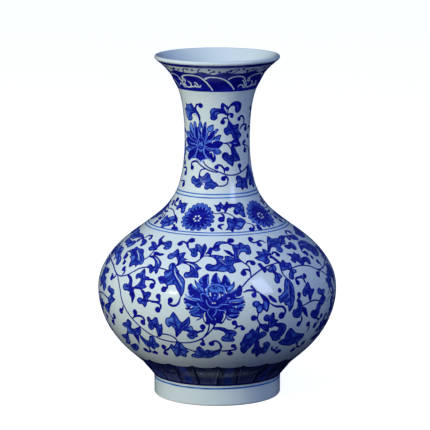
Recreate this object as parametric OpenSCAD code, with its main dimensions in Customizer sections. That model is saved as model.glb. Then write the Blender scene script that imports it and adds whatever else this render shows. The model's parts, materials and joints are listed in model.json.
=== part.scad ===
// Flared-mouth bottle vase in glazed porcelain. Millimetres, +Z up.
// The origin is the centre of the foot's resting face.
//
// The pot is thrown in five sections that are luted together with slip, painted with cobalt rings and
// bands, and covered with clear glaze. Every piece is a solid of revolution about Z.

/* [Outline] */
// Height from the resting face to the crest of the lip
vase_h = 330; // [300:1:360]
// Diameter of the foot
foot_d = 122.4; // [118:0.2:126]
// Largest diameter of the belly
belly_d = 230.2; // [220:0.2:240]
// Smallest diameter of the neck
neck_d = 62.4; // [58:0.2:68]
// Diameter across the outside of the flared mouth
mouth_d = 120; // [114:0.5:124]
// Height of the straight wall of the foot
foot_h = 16; // [14:0.5:18]

/* [Walls] */
// Wall thickness at the rounded lip, glaze included
lip_wall = 4; // [3.4:0.1:5]
// Wall thickness at the widest part of the belly
belly_wall = 5; // [4:0.1:6]
// Wall thickness just above the foot
base_wall = 6; // [5:0.1:7]
// Thickness of the floor of the vase
floor_t = 6.8; // [5:0.2:8]
// Thickness of the foot ring, glaze included
foot_wall = 7.7; // [6:0.1:9]

/* [Layers] */
// Thickness of the clear glaze
glaze_t = 0.35; // [0.25:0.05:0.5]
// Thickness of the cobalt painting under the glaze
cobalt_t = 0.1; // [0.05:0.01:0.15]
// Thickness of the slip in each luted seam
slip_t = 0.6; // [0.4:0.1:1.2]
// Height of the bare clay left above the resting face
bare_h = 1.6; // [1.2:0.1:3]

/* [Hidden] */
$fn = 96;

clay_colour = [0.93, 0.92, 0.89];
slip_colour = [0.86, 0.84, 0.79];
glaze_colour = [0.84, 0.90, 0.92];
cobalt_colour = [0.07, 0.12, 0.55];

// The drawing is made for a 330 mm vase, and every height below scales with vase_h.
k = vase_h / 330;
foot_r = foot_d / 2;
belly_r = belly_d / 2;
neck_r = neck_d / 2;
lip_r = lip_wall / 2;
lip_z = vase_h - lip_r;
lip_centre_r = mouth_d / 2 - lip_r;
lip_slope = 1.15;
// Direction out of the wall where the flare meets the lip, as radius and height
lip_out = [1, -lip_slope] / norm([1, lip_slope]);
flare_r = lip_centre_r + lip_r * lip_out[0];
flare_z = lip_z + lip_r * lip_out[1];

// The glazed outline, from the foot up to the lip: height, radius and change of radius with height.
// Radii between the driving diameters are shares of the step from one diameter to the next.
function share(low, high, part) = low + (high - low) * part;
knots = [
    [0, foot_r, 0],
    [foot_h, foot_r, 0],
    [25 * k, share(foot_r, belly_r, 0.06), 0.66],
    [35 * k, share(foot_r, belly_r, 0.243), 1.20],
    [46 * k, share(foot_r, belly_r, 0.482), 1.10],
    [60 * k, share(foot_r, belly_r, 0.716), 0.74],
    [80 * k, share(foot_r, belly_r, 0.917), 0.37],
    [104 * k, belly_r, 0],
    [130 * k, share(neck_r, belly_r, 0.913), -0.62],
    [150 * k, share(neck_r, belly_r, 0.713), -1.12],
    [165 * k, share(neck_r, belly_r, 0.482), -1.34],
    [180 * k, share(neck_r, belly_r, 0.258), -1.02],
    [195 * k, share(neck_r, belly_r, 0.12), -0.56],
    [215 * k, share(neck_r, belly_r, 0.038), -0.21],
    [247 * k, neck_r, 0],
    [275 * k, share(neck_r, flare_r, 0.047), 0.105],
    [300 * k, share(neck_r, flare_r, 0.257), 0.39],
    [315 * k, share(neck_r, flare_r, 0.562), 0.80],
    [flare_z, flare_r, lip_slope],
];

// Which stretch between two knots holds height z
function stretch(z, i = 0) = i >= len(knots) - 2 || z < knots[i + 1][0] ? i : stretch(z, i + 1);
// Radius and slope of the outline at height z, by a cubic through the knots
function hermite(a, b, t) = let (h = b[0] - a[0])
    [(2 * pow(t, 3) - 3 * t * t + 1) * a[1] + (pow(t, 3) - 2 * t * t + t) * h * a[2]
     + (3 * t * t - 2 * pow(t, 3)) * b[1] + (pow(t, 3) - t * t) * h * b[2],
     ((6 * t * t - 6 * t) * (a[1] - b[1])) / h + (3 * t * t - 4 * t + 1) * a[2]
     + (3 * t * t - 2 * t) * b[2]];
function outline(z) = let (i = stretch(z), a = knots[i], b = knots[i + 1])
    hermite(a, b, (z - a[0]) / (b[0] - a[0]));
// A point at depth d inside the glazed outline, measured square to the wall at height z
function inside(z, d) = let (o = outline(z), n = norm([1, o[1]]))
    [o[0] - d / n, z + d * o[1] / n];

// Wall thickness with height
function wall(z) = lookup(z, [[foot_h, base_wall], [60 * k, belly_wall], [200 * k, 4.4],
                              [flare_z, lip_wall]]);

// Heights from z0 to z1, close together where the wall turns sharply
step_fine = 2.5;
step_coarse = 4;
function spacing(z0, z1) = (z0 + z1) / 2 < 60 * k || (z0 + z1) / 2 > 300 * k ? step_fine : step_coarse;
function heights(z0, z1) = let (n = max(1, ceil((z1 - z0) / spacing(z0, z1))))
    [for (i = [0 : n]) z0 + (z1 - z0) * i / n];
// One face of the wall between two heights, at a fixed depth, or at a fixed distance from the inside
function face(z0, z1, depth) = [for (z = heights(z0, z1)) inside(z, depth)];
function inner_face(z0, z1, cover) = [for (z = heights(z0, z1)) inside(z, wall(z) - cover)];
function backwards(points) = [for (i = [len(points) - 1 : -1 : 0]) points[i]];

// The rounded lip as an arc of radius r, from the outside over the crest to the inside
lip_start = atan2(lip_out[1], lip_out[0]);
function lip_arc(r, from_share = 0, to_share = 1) = [for (i = [0 : 12])
    let (a = lip_start + 180 * (from_share + (to_share - from_share) * i / 12))
        [lip_centre_r + r * cos(a), lip_z + r * sin(a)]];

// Seams between the thrown sections
foot_seam_z = 12;
belly_seam_z = 104 * k;
shoulder_seam_z = 184 * k;
collar_seam_z = 286 * k;
half_slip = slip_t / 2;

// The foot and the floor of the vase
well_r = foot_r - foot_wall;
bearing_in_r = well_r + 1.6;
bearing_edge = 1.3;
clay_foot_r = foot_r - glaze_t;
floor_top = foot_seam_z + slip_t + floor_t;
floor_flat_r = 38;
bowl_z = 30 * k;

// Where the bowl's wall runs into the floor: a curve from the wall's inside to the flat of the floor
function bend(a, b, c, t) = (1 - t) * (1 - t) * a + 2 * t * (1 - t) * b + t * t * c;
function bowl_curve(cover) = let (
        top = inside(bowl_z, wall(bowl_z) - cover),
        slope = outline(bowl_z)[1],
        floor_z = floor_top - cover,
        corner = [top[0] - slope * (top[1] - floor_z), floor_z])
    [for (i = [0 : 10]) bend(top, corner, [floor_flat_r, floor_z], i / 10)];

// Painted rings and bands, as the heights where each begins and ends
line_w = 0.9;
foot_lines = [[16.3 * k, 16.3 * k + line_w]];
lappet_band = [19.4 * k, 43 * k];
shoulder_line_pair = [[166.4 * k, 166.4 * k + line_w], [168.8 * k, 168.8 * k + line_w]];
neck_line_pair = [[197.6 * k, 197.6 * k + line_w], [201.1 * k, 201.1 * k + line_w]];
wave_band = [298.8 * k, 325 * k];
painted = concat(foot_lines, [lappet_band], shoulder_line_pair, neck_line_pair, [wave_band]);

// The underside of the outer glaze, stepped outwards over each painted ring
function glaze_underside(i = 0, z = bare_h) = i == len(painted)
    ? face(z, flare_z, glaze_t)
    : concat(face(z, painted[i][0], glaze_t),
             face(painted[i][0], painted[i][1], glaze_t - cobalt_t),
             glaze_underside(i + 1, painted[i][1]));

module turned(points) {
    rotate_extrude() polygon(points);
}

// A stretch of clay wall between two heights
module clay_wall(z0, z1) {
    turned(concat(face(z0, z1, glaze_t), backwards(inner_face(z0, z1, glaze_t))));
}

// A ring of slip that fills a seam at height z
module seam(z) {
    color(slip_colour) clay_wall(z - half_slip, z + half_slip);
}

// A painted ring between two heights, laid on the clay
module painted_ring(z0, z1) {
    color(cobalt_colour)
        turned(concat(face(z0, z1, glaze_t - cobalt_t), backwards(face(z0, z1, glaze_t))));
}

module foot_ring() {
    well_clay_r = well_r + glaze_t;
    rounded_edge = [for (i = [0 : 6]) let (a = -90 + 15 * i)
        [clay_foot_r - bearing_edge + bearing_edge * cos(a), bearing_edge + bearing_edge * sin(a)]];
    color(clay_colour)
        turned(concat([[bearing_in_r, 0]], rounded_edge,
                      [[clay_foot_r, foot_seam_z], [well_clay_r, foot_seam_z],
                       [well_clay_r, bearing_in_r - well_clay_r]]));
}

module lower_belly() {
    base_z = foot_seam_z + slip_t;
    top_z = belly_seam_z - half_slip;
    color(clay_colour)
        turned(concat([[0, base_z]], face(base_z, top_z, glaze_t),
                      backwards(inner_face(bowl_z, top_z, glaze_t)), bowl_curve(glaze_t),
                      [[0, floor_top - glaze_t]]));
}

module upper_belly() {
    color(clay_colour) clay_wall(belly_seam_z + half_slip, shoulder_seam_z - half_slip);
}

module neck() {
    color(clay_colour) clay_wall(shoulder_seam_z + half_slip, collar_seam_z - half_slip);
}

module mouth() {
    z0 = collar_seam_z + half_slip;
    color(clay_colour)
        turned(concat(face(z0, flare_z, glaze_t), lip_arc(lip_r - glaze_t),
                      backwards(inner_face(z0, flare_z, glaze_t))));
}

module foot_seam_slip() {
    color(slip_colour)
        turned([[well_r + glaze_t, foot_seam_z], [clay_foot_r, foot_seam_z],
                [clay_foot_r, foot_seam_z + slip_t], [well_r + glaze_t, foot_seam_z + slip_t]]);
}

module belly_seam_slip() {
    seam(belly_seam_z);
}

module shoulder_seam_slip() {
    seam(shoulder_seam_z);
}

module collar_seam_slip() {
    seam(collar_seam_z);
}

// The outside coat, up to the crest of the lip
module outer_glaze() {
    color(glaze_colour)
        turned(concat(face(bare_h, flare_z, 0), lip_arc(lip_r, 0, 0.5),
                      backwards(lip_arc(lip_r - glaze_t, 0, 0.5)), backwards(glaze_underside())));
}

// The inside coat, from the crest of the lip down to the floor
module inner_glaze() {
    color(glaze_colour)
        turned(concat([[0, floor_top - glaze_t]], backwards(bowl_curve(glaze_t)),
                      inner_face(bowl_z, flare_z, glaze_t),
                      backwards(lip_arc(lip_r - glaze_t, 0.5, 1)), lip_arc(lip_r, 0.5, 1),
                      backwards(inner_face(bowl_z, flare_z, 0)), bowl_curve(0), [[0, floor_top]]));
}

// The coat in the well under the foot
module foot_well_glaze() {
    clay_z = foot_seam_z + slip_t;
    color(glaze_colour)
        turned([[0, clay_z - glaze_t], [well_r, clay_z - glaze_t], [well_r, bare_h],
                [well_r + glaze_t, bare_h], [well_r + glaze_t, clay_z], [0, clay_z]]);
}

module foot_line() {
    for (line = foot_lines) painted_ring(line[0], line[1]);
}

module lappet_ground() {
    painted_ring(lappet_band[0], lappet_band[1]);
}

module shoulder_lines() {
    for (line = shoulder_line_pair) painted_ring(line[0], line[1]);
}

module neck_lines() {
    for (line = neck_line_pair) painted_ring(line[0], line[1]);
}

module wave_ground() {
    painted_ring(wave_band[0], wave_band[1]);
}

foot_ring();
lower_belly();
upper_belly();
neck();
mouth();
foot_seam_slip();
belly_seam_slip();
shoulder_seam_slip();
collar_seam_slip();
outer_glaze();
inner_glaze();
foot_well_glaze();
foot_line();
lappet_ground();
shoulder_lines();
neck_lines();
wave_ground();
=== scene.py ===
import json
import math

import bpy
import numpy as np
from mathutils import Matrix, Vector, geometry, kdtree


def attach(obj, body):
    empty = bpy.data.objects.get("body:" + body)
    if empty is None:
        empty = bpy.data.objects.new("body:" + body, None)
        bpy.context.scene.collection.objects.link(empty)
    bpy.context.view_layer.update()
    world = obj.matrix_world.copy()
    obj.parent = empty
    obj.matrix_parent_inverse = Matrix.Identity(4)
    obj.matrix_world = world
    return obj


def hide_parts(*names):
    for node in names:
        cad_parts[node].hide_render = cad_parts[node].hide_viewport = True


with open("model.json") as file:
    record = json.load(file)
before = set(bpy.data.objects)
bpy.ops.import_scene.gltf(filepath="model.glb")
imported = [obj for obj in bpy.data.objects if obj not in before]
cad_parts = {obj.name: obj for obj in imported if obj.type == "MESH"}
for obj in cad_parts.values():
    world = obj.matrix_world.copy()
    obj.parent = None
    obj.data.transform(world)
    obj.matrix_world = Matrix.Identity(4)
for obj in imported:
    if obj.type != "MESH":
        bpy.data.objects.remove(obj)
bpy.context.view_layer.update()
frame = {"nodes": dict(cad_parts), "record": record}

# A bottle vase in blue-and-white porcelain. The glaze coats are turned from the pot's outline, and the
# painting is laid on them as thin leaves of cobalt, each drawn in two measures: the turn round the pot in
# degrees (0 is the front, to the right is more) and the run along the wall in millimetres from the foot.
MM = 0.001

# ---------------------------------------------------------------- the pot's outline

FOOT = 61.2
BELLY = 115.1
NECK = 31.2
FLARE = 59.31
FLARE_HEIGHT = 326.49


def share(low, high, part):
    """A radius part of the way from one driving radius to the next, to a hundredth of a millimetre."""
    return round(low + (high - low) * part, 2)


# Height, radius and change of radius with height, from the foot to where the lip's rounding begins
OUTLINE = (
    (0, FOOT, 0),
    (16, FOOT, 0),
    (25, share(FOOT, BELLY, 0.06), 0.66),
    (35, share(FOOT, BELLY, 0.243), 1.20),
    (46, share(FOOT, BELLY, 0.482), 1.10),
    (60, share(FOOT, BELLY, 0.716), 0.74),
    (80, share(FOOT, BELLY, 0.917), 0.37),
    (104, BELLY, 0),
    (130, share(NECK, BELLY, 0.913), -0.62),
    (150, share(NECK, BELLY, 0.713), -1.12),
    (165, share(NECK, BELLY, 0.482), -1.34),
    (180, share(NECK, BELLY, 0.258), -1.02),
    (195, share(NECK, BELLY, 0.12), -0.56),
    (215, share(NECK, BELLY, 0.038), -0.21),
    (247, NECK, 0),
    (275, share(NECK, FLARE, 0.047), 0.105),
    (300, share(NECK, FLARE, 0.257), 0.39),
    (315, share(NECK, FLARE, 0.562), 0.80),
    (FLARE_HEIGHT, FLARE, 1.15),
)
LIP_RADIUS = 2.0
LIP_CENTRE = (58.0, 328.0)
GLAZE = 0.35
BARE_FOOT = 1.6
# Thickness of the wall at some heights, and the bend from the wall to the floor inside
WALL = ((16, 6.0), (60, 5.0), (200, 4.4), (FLARE_HEIGHT, 4.0))
BOWL_HEIGHT = 30.0
FLOOR_HEIGHT = 19.4
FLOOR_RADIUS = 38.0


def radius_and_slope(height):
    """Radius of the glazed outline at a height, and how fast it changes, by a cubic between knots."""
    for (z0, r0, m0), (z1, r1, m1) in zip(OUTLINE, OUTLINE[1:]):
        if height <= z1:
            break
    span = z1 - z0
    t = (height - z0) / span
    radius = ((2 * t**3 - 3 * t**2 + 1) * r0 + (t**3 - 2 * t**2 + t) * span * m0
              + (3 * t**2 - 2 * t**3) * r1 + (t**3 - t**2) * span * m1)
    slope = ((6 * t**2 - 6 * t) * (r0 - r1) / span + (3 * t**2 - 4 * t + 1) * m0
             + (3 * t**2 - 2 * t) * m1)
    return radius, slope


# The wall in fine steps, so that any run along it gives its height, radius and outward direction
WALL_HEIGHT = np.linspace(0, OUTLINE[-1][0], 1600)
WALL_RADIUS, WALL_SLOPE = np.array([radius_and_slope(z) for z in WALL_HEIGHT]).T
WALL_RUN = np.concatenate(([0], np.cumsum(np.hypot(np.diff(WALL_HEIGHT), np.diff(WALL_RADIUS)))))
LIP_RUN = float(WALL_RUN[-1])
LAPPET_COUNT = 11
LAPPET_PITCH = 360 / LAPPET_COUNT


def radius_at(run):
    """Radius of the glazed outline at a run along the wall."""
    return np.interp(run, WALL_RUN, WALL_RADIUS)


def degrees_per_mm(run):
    """How far round the pot one millimetre goes at this run."""
    return np.degrees(1 / radius_at(run))


def on_wall(turn, run, lift=0.0):
    """Places and outward directions, in metres, of points given by turn and run."""
    turn = np.radians(np.asarray(turn, float))
    run = np.asarray(run, float)
    slope = np.interp(run, WALL_RUN, WALL_SLOPE)
    out = 1 / np.hypot(1, slope)
    up = -slope * out
    radius = radius_at(run) + lift * out
    height = np.interp(run, WALL_RUN, WALL_HEIGHT) + lift * up
    around = np.stack([np.sin(turn), -np.cos(turn)], axis=-1)
    place = np.column_stack([around * radius[:, None], height]) * MM
    normal = np.column_stack([around * out[:, None], up])
    return place, normal


# ---------------------------------------------------------------- turned pieces


def new_piece(name, verts, faces, material, replaces=()):
    """A mesh object that rides on the pot, in the material it is given."""
    mesh = bpy.data.meshes.new(name)
    mesh.from_pydata([tuple(v) for v in verts], [], faces)
    mesh.validate()
    piece = bpy.data.objects.new(name, mesh)
    bpy.context.scene.collection.objects.link(piece)
    mesh.materials.append(material)
    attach(piece, "root")
    if replaces:
        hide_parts(*replaces)
    return piece


def turned(name, section, material, replaces=(), steps=240):
    """A closed solid turned about the pot's axis from a closed section of (radius, height) points."""
    angles = np.linspace(0, 2 * math.pi, steps, endpoint=False)
    verts = []
    rings = []
    for radius, height in section:
        first = len(verts)
        if radius < 1e-6:
            verts.append((0, 0, height * MM))
            rings.append([first] * steps)
            continue
        verts += [(radius * MM * math.cos(a), radius * MM * math.sin(a), height * MM) for a in angles]
        rings.append(list(range(first, first + steps)))
    faces = []
    for lower, upper in zip(rings, rings[1:] + rings[:1]):
        for i in range(steps):
            j = (i + 1) % steps
            corners = list(dict.fromkeys([lower[i], lower[j], upper[j], upper[i]]))
            if len(corners) > 2:
                faces.append(corners)
    piece = new_piece(name, verts, faces, material, replaces)
    piece.data.polygons.foreach_set("use_smooth", [True] * len(piece.data.polygons))
    piece.data.set_sharp_from_angle(angle=math.radians(35))
    return piece


def wall_face(first_run, last_run, step, depth=0.0):
    """Section points along the wall, at a depth under the glazed outline."""
    count = max(1, round((last_run - first_run) / step))
    runs = np.linspace(first_run, last_run, count + 1)
    place, _ = on_wall(np.zeros(len(runs)), runs, -depth)
    return [(-p[1] / MM, p[2] / MM) for p in place]


def lip_arc(radius, start, end, count=14):
    """Section points round the lip. Angles in degrees: below 0 is the outside, 90 the crest."""
    angles = np.radians(np.linspace(start, end, count))
    return [(LIP_CENTRE[0] + radius * math.cos(a), LIP_CENTRE[1] + radius * math.sin(a)) for a in angles]


def inner_face(step):
    """Section points of the inside of the wall, from the lip down into the bowl."""
    runs = np.arange(LIP_RUN, float(np.interp(BOWL_HEIGHT, WALL_HEIGHT, WALL_RUN)), -step)
    heights = np.interp(runs, WALL_RUN, WALL_HEIGHT)
    depths = np.interp(heights, *zip(*WALL))
    place, _ = on_wall(np.zeros(len(runs)), runs, -depths)
    return [(-p[1] / MM, p[2] / MM) for p in place]


def bowl(top, floor_height):
    """The bend from the wall's inside to the flat floor, from its top point down."""
    slope = radius_and_slope(BOWL_HEIGHT)[1]
    corner = (top[0] - slope * (top[1] - floor_height), floor_height)
    points = []
    for t in np.linspace(0, 1, 13)[1:]:
        points.append(tuple((1 - t)**2 * a + 2 * t * (1 - t) * b + t**2 * c
                            for a, b, c in zip(top, corner, (FLOOR_RADIUS, floor_height))))
    return points


def outer_coat(material):
    """The glaze outside: from the bare foot up the wall and over the lip to its crest."""
    lip_start = math.degrees(math.atan(-OUTLINE[-1][2]))
    outside = wall_face(BARE_FOOT, LIP_RUN, 1.7) + lip_arc(LIP_RADIUS, lip_start, 90)[1:]
    inside = lip_arc(LIP_RADIUS - GLAZE, 90, lip_start) + wall_face(BARE_FOOT, LIP_RUN, 4, GLAZE)[::-1][1:]
    return turned("outer_coat", outside + inside, material, ["outer_glaze"])


def inner_coat(material):
    """The glaze inside: from the lip's crest down the wall and across the floor of the vase."""
    lip_end = math.degrees(math.atan(-OUTLINE[-1][2])) + 180
    face = inner_face(2.0)
    face += bowl(face[-1], FLOOR_HEIGHT) + [(20, FLOOR_HEIGHT), (0, FLOOR_HEIGHT)]
    surface = lip_arc(LIP_RADIUS, 90, lip_end)[:-1] + face
    face_points = np.array(surface)
    along = np.gradient(face_points, axis=0)
    along /= np.hypot(*along.T)[:, None]
    under = face_points + GLAZE * np.column_stack([-along[:, 1], along[:, 0]])
    under[0] = (LIP_CENTRE[0], LIP_CENTRE[1] + LIP_RADIUS - GLAZE)
    under[-1] = (0, FLOOR_HEIGHT - GLAZE)
    section = surface + [tuple(p) for p in under[::-1]]
    return turned("inner_coat", section, material, ["inner_glaze"])


# ---------------------------------------------------------------- brushwork

# In millimetres: how far a stroke stands above the glaze, how far it is sunk into it, how far a wash
# stays deeper on each side of a leaf's rib, and the dark rims of a drawn leaf and of a lobed one
LEAF_THICKNESS = 0.08
SINK = 0.05
RIB_REACH = 3.3
RIM = 1.35
LOBED_RIM = 1.15


def curve_through(points, closed=False, steps=5):
    """A smooth curve through the points, with so many steps between each two."""
    knots = np.array(points, float)
    if len(knots) == 2:
        return np.linspace(knots[0], knots[1], steps + 1)
    if closed:
        padded = np.vstack([knots[-1], knots, knots[0], knots[1]])
    else:
        padded = np.vstack([2 * knots[0] - knots[1], knots, 2 * knots[-1] - knots[-2]])
    t = np.linspace(0, 1, steps, endpoint=False)[:, None]
    parts = []
    for a, b, c, d in zip(padded, padded[1:], padded[2:], padded[3:]):
        parts.append(0.5 * (2 * b + (c - a) * t + (2 * a - 5 * b + 4 * c - d) * t**2
                            + (3 * b - a - 3 * c + d) * t**3))
    curve = np.vstack(parts)
    return curve if closed else np.vstack([curve, knots[-1]])


def shifted(points, right, up):
    """Points moved by so many millimetres to the right round the pot and up the wall."""
    points = np.asarray(points, float)
    return np.column_stack([points[:, 0] + right * degrees_per_mm(points[:, 1]), points[:, 1] + up])


def directions(line):
    """Unit directions, in millimetres right and up, along a line of (turn, run) points."""
    step = np.gradient(line, axis=0)
    step[:, 0] /= degrees_per_mm(line[:, 1])
    return step / np.maximum(np.hypot(*step.T), 1e-9)[:, None]


def inward(ring, inset):
    """A closed edge moved inwards by so many millimetres; the edge runs anticlockwise."""
    step = np.roll(ring, -1, axis=0) - np.roll(ring, 1, axis=0)
    step[:, 0] /= degrees_per_mm(ring[:, 1])
    way = step / np.maximum(np.hypot(*step.T), 1e-9)[:, None]
    return shifted(ring, -way[:, 1] * inset, way[:, 0] * inset)


def anticlockwise(ring):
    """The ring as an array that runs anticlockwise."""
    x, y = np.asarray(ring, float).T
    turned_left = np.sum(x * np.roll(y, -1) - y * np.roll(x, -1)) > 0
    return np.asarray(ring, float)[::1 if turned_left else -1]


def winds_round(spots, ring):
    """Which spots an anticlockwise ring goes round, even where it crosses itself."""
    x, y = spots[:, :1], spots[:, 1:]
    ahead = np.roll(ring, -1, axis=0)
    side = (ahead[:, 0] - ring[:, 0]) * (y - ring[:, 1]) - (x - ring[:, 0]) * (ahead[:, 1] - ring[:, 1])
    rising = (ring[:, 1] <= y) & (ahead[:, 1] > y) & (side > 0)
    falling = (ring[:, 1] > y) & (ahead[:, 1] <= y) & (side < 0)
    return rising.sum(axis=1) > falling.sum(axis=1)


class Painting:
    """The brushwork of one zone. Shapes are laid in order, and a later one covers an earlier one.

    Each shape is repeated at every one of the turns, and grain is the size in millimetres of the triangles
    inside a shape. A ringed painting goes all round: its shapes are moved to between -180 and 180, and a
    bare one across that seam is laid on both sides of it."""

    def __init__(self, name, repeats, grain):
        self.name = name
        self.turns = [360 / repeats * i for i in range(repeats)]
        self.grain = grain
        self.ringed = False
        self.shapes = []
        self.ribs = []

    def lay(self, tone, ring):
        """A filled shape, repeated round the pot. The tone "bare" wipes the ground clean again."""
        ring = anticlockwise(ring)
        for turn in self.turns:
            placed = ring + (turn, 0)
            if self.ringed:
                placed = placed - (360 * math.floor(placed[:, 0].mean() / 360 + 0.5), 0)
                if tone == "bare" and abs(placed[:, 0]).max() > 180:
                    self.shapes.append((tone, placed - (math.copysign(360, placed[:, 0].mean()), 0)))
            self.shapes.append((tone, placed))

    def rib(self, line):
        """Where a wash is deepest: along the middle of a leaf."""
        for turn in self.turns:
            self.ribs.append(line + (turn, 0))

    def stroke(self, *points, width=1.0, ends=(0.6, 0.6), tone="line"):
        """A brush line through the points, at full width in the middle and thinner at its ends."""
        line = curve_through(points)
        t = np.linspace(0, 1, len(line))
        half = width / 2 * np.interp(t, (0, 0.25, 0.75, 1), (ends[0], 1, 1, ends[1]))
        way = directions(line)
        left = shifted(line, -way[:, 1] * half, way[:, 0] * half)
        right = shifted(line, way[:, 1] * half, -way[:, 0] * half)
        self.lay(tone, np.vstack([left, right[::-1]]))

    def fill(self, tone, edge):
        """A shape with a smooth edge through the points."""
        self.lay(tone, curve_through(edge, closed=True, steps=3))

    def drawn_leaf(self, edge, *veins, rim=RIM, tone="wash"):
        """A leaf or petal drawn by its own edge: dark outside, a wash or shade inside, dark veins."""
        ring = anticlockwise(curve_through(edge, closed=True, steps=4))
        self.lay("line", ring)
        self.lay(tone, inward(ring, rim))
        for vein in veins:
            self.rib(curve_through(vein))
            self.stroke(*vein, width=1.35, ends=(1.4, 0.3))

    def dab(self, turn, run, size, tone="line", stretch=1.0):
        """A round dab of the brush; stretch makes it wider than tall."""
        angles = np.linspace(0, 2 * math.pi, 14, endpoint=False)
        centre = np.repeat([(turn, run)], len(angles), axis=0)
        self.lay(tone, shifted(centre, size * stretch * np.cos(angles), size * np.sin(angles)))

    def curl(self, *points, bulb, width=2.3):
        """A tendril that swells along its length and ends in a round bulb at the last point."""
        self.stroke(*points, width=width, ends=(0.45, 1.4))
        self.dab(*points[-1], bulb * 1.15)

    def leaf(self, *spine, half, lobes):
        """A leaf along a spine from stalk to tip, with so many lobes on its left and right edges."""
        half *= 1.3
        self.lay("line", self.leaf_edge(spine, half, lobes))
        self.lay("wash", self.leaf_edge(spine, half, lobes, LOBED_RIM))
        line = curve_through(spine, steps=10)
        self.rib(line)
        self.stroke(*line[:int(len(line) * 0.72):4], width=1.1, ends=(1.6, 0.3))
        self.veins(line, half, lobes)

    def veins(self, line, half, lobes):
        """A vein from the middle line out into each lobe."""
        way = directions(line)
        for side, count in zip((-1, 1), lobes):
            for i in range(count):
                start = int((0.18 + 0.5 * i / count) * (len(line) - 1))
                end = min(len(line) - 1, start + int(0.26 * len(line)))
                out = side * half * 0.5
                reach = shifted(line[end:end + 1], way[end, 1] * out, -way[end, 0] * out)
                middle = (line[start] + reach[0]) / 2 + (line[end] - line[start]) * 0.18
                self.stroke(line[start], middle, reach[0], width=0.85, ends=(1.0, 0.3))

    def leaf_edge(self, spine, half, lobes, inset=0.0):
        """The edge of a leaf: narrow at its stalk, then flaring into round lobes and a pointed tip.

        Each share is a place along the spine and how much of the half width the edge reaches there."""
        line = curve_through(spine, steps=12)
        way = directions(line)
        along = np.linspace(0, 1, len(line))
        begin = 0.12 if inset else 0.0
        end = 1 - 0.35 * inset / half
        sides = []
        for side, count in zip((-1, 1), lobes):
            shares = [(0.0, 0.45 / half), (0.13, 0.7 / half)]
            for i in range(count):
                low = 0.17 + 0.64 * i / count
                size = 0.64 / count
                grow = 0.62 + 0.38 * math.sin(math.pi * (i + 0.9) / (count + 0.6))
                dip = 0.5 if i else 0.36
                for part, share in ((0.04, dip), (0.3, 0.8), (0.6, 1.0), (0.9, 0.9)):
                    shares.append((low + size * part, share * grow))
            shares += [(0.84, 0.4), (0.92, 0.36), (1.0, 0.0)]
            edge = []
            for t, share in shares[2:] if inset else shares:
                t = begin + (end - begin) * t
                spot = np.array([[np.interp(t, along, line[:, 0]), np.interp(t, along, line[:, 1])]])
                heading = (np.interp(t, along, way[:, 0]), np.interp(t, along, way[:, 1]))
                out = side * max(0.0, half * share - inset)
                edge.append(shifted(spot, heading[1] * out, -heading[0] * out)[0])
            sides.append(edge)
        ring = sides[0] + sides[1][::-1][1:]
        return curve_through(ring, closed=True, steps=3)

    def petal(self, base, tip, half, tone=None, round_tip=0.0):
        """A petal from base to tip, all dark, or with a paler tone inside and a dark middle line."""
        base, tip = np.array(base, float), np.array(tip, float)
        scale = degrees_per_mm((base[1] + tip[1]) / 2)
        reach = ((tip[0] - base[0]) / scale, tip[1] - base[1])
        length = math.hypot(*reach)
        way = (reach[0] / length, reach[1] / length)
        profile = ((0, 0.25), (0.22, 0.62), (0.5, 1.0), (0.72, 0.92), (0.88, 0.5 + round_tip * 0.3),
                   (1.0, round_tip * 0.4))

        def ring(first, last, wide):
            """The petal's edge between two shares of its length, at a half width."""
            points = []
            for side, parts in ((-1, profile), (1, profile[::-1])):
                for t, share in parts:
                    along = (first + (last - first) * t) * length
                    out = side * share * wide
                    right = way[0] * along + way[1] * out
                    up = way[1] * along - way[0] * out
                    points.append((base[0] + right * scale, base[1] + up))
            return curve_through(points, closed=True, steps=4)

        self.lay("line", ring(0, 1, half))
        if tone:
            self.lay(tone, ring(0.05, 0.95, half - 0.6))
            self.lay("line", ring(0.1, 0.75, 0.35))

    # ------------------------------------------------------------ from shapes to thin leaves of cobalt

    def triangles(self):
        """Cuts all shapes into triangles that follow the wall, and gives each its topmost tone."""
        runs = np.concatenate([ring[:, 1] for _, ring in self.shapes])
        turns = np.concatenate([ring[:, 0] for _, ring in self.shapes])
        flat = float(radius_at((runs.min() + runs.max()) / 2)) * math.pi / 180
        points = []
        edges = []
        for _, ring in self.shapes:
            first = len(points)
            points += [Vector((turn * flat, run)) for turn, run in ring]
            edges += [(i, i + 1) for i in range(first, len(points) - 1)] + [(len(points) - 1, first)]
        across = np.arange(turns.min() * flat, turns.max() * flat, self.grain)
        for row, run in enumerate(np.arange(runs.min(), runs.max(), self.grain * 0.866)):
            offset = 0.37 + (row % 2) * 0.5
            points += [Vector((x + offset * self.grain, run + 0.13)) for x in across]
        cut = geometry.delaunay_2d_cdt(points, edges, [], 0, 1e-4)
        spots = np.array([tuple(p) for p in cut[0]])
        corners = np.array([tuple(face) for face in cut[2]])
        centres = spots[corners].mean(axis=1)
        order = np.argsort(centres[:, 0])
        corners, centres = corners[order], centres[order]
        top = np.full(len(centres), -1)
        for number, (_, ring) in enumerate(self.shapes):
            edge = ring * (flat, 1)
            low, high = edge.min(axis=0), edge.max(axis=0)
            first, last = np.searchsorted(centres[:, 0], (low[0], high[0]))
            heights = centres[first:last, 1]
            near = first + np.flatnonzero((heights > low[1]) & (heights < high[1]))
            if len(near):
                top[near[winds_round(centres[near], edge)]] = number
        tones = {}
        for face, number in zip(corners.tolist(), top):
            if number >= 0 and self.shapes[number][0] != "bare":
                tones.setdefault(self.shapes[number][0], []).append(face)
        return spots / (flat, 1), tones

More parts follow.
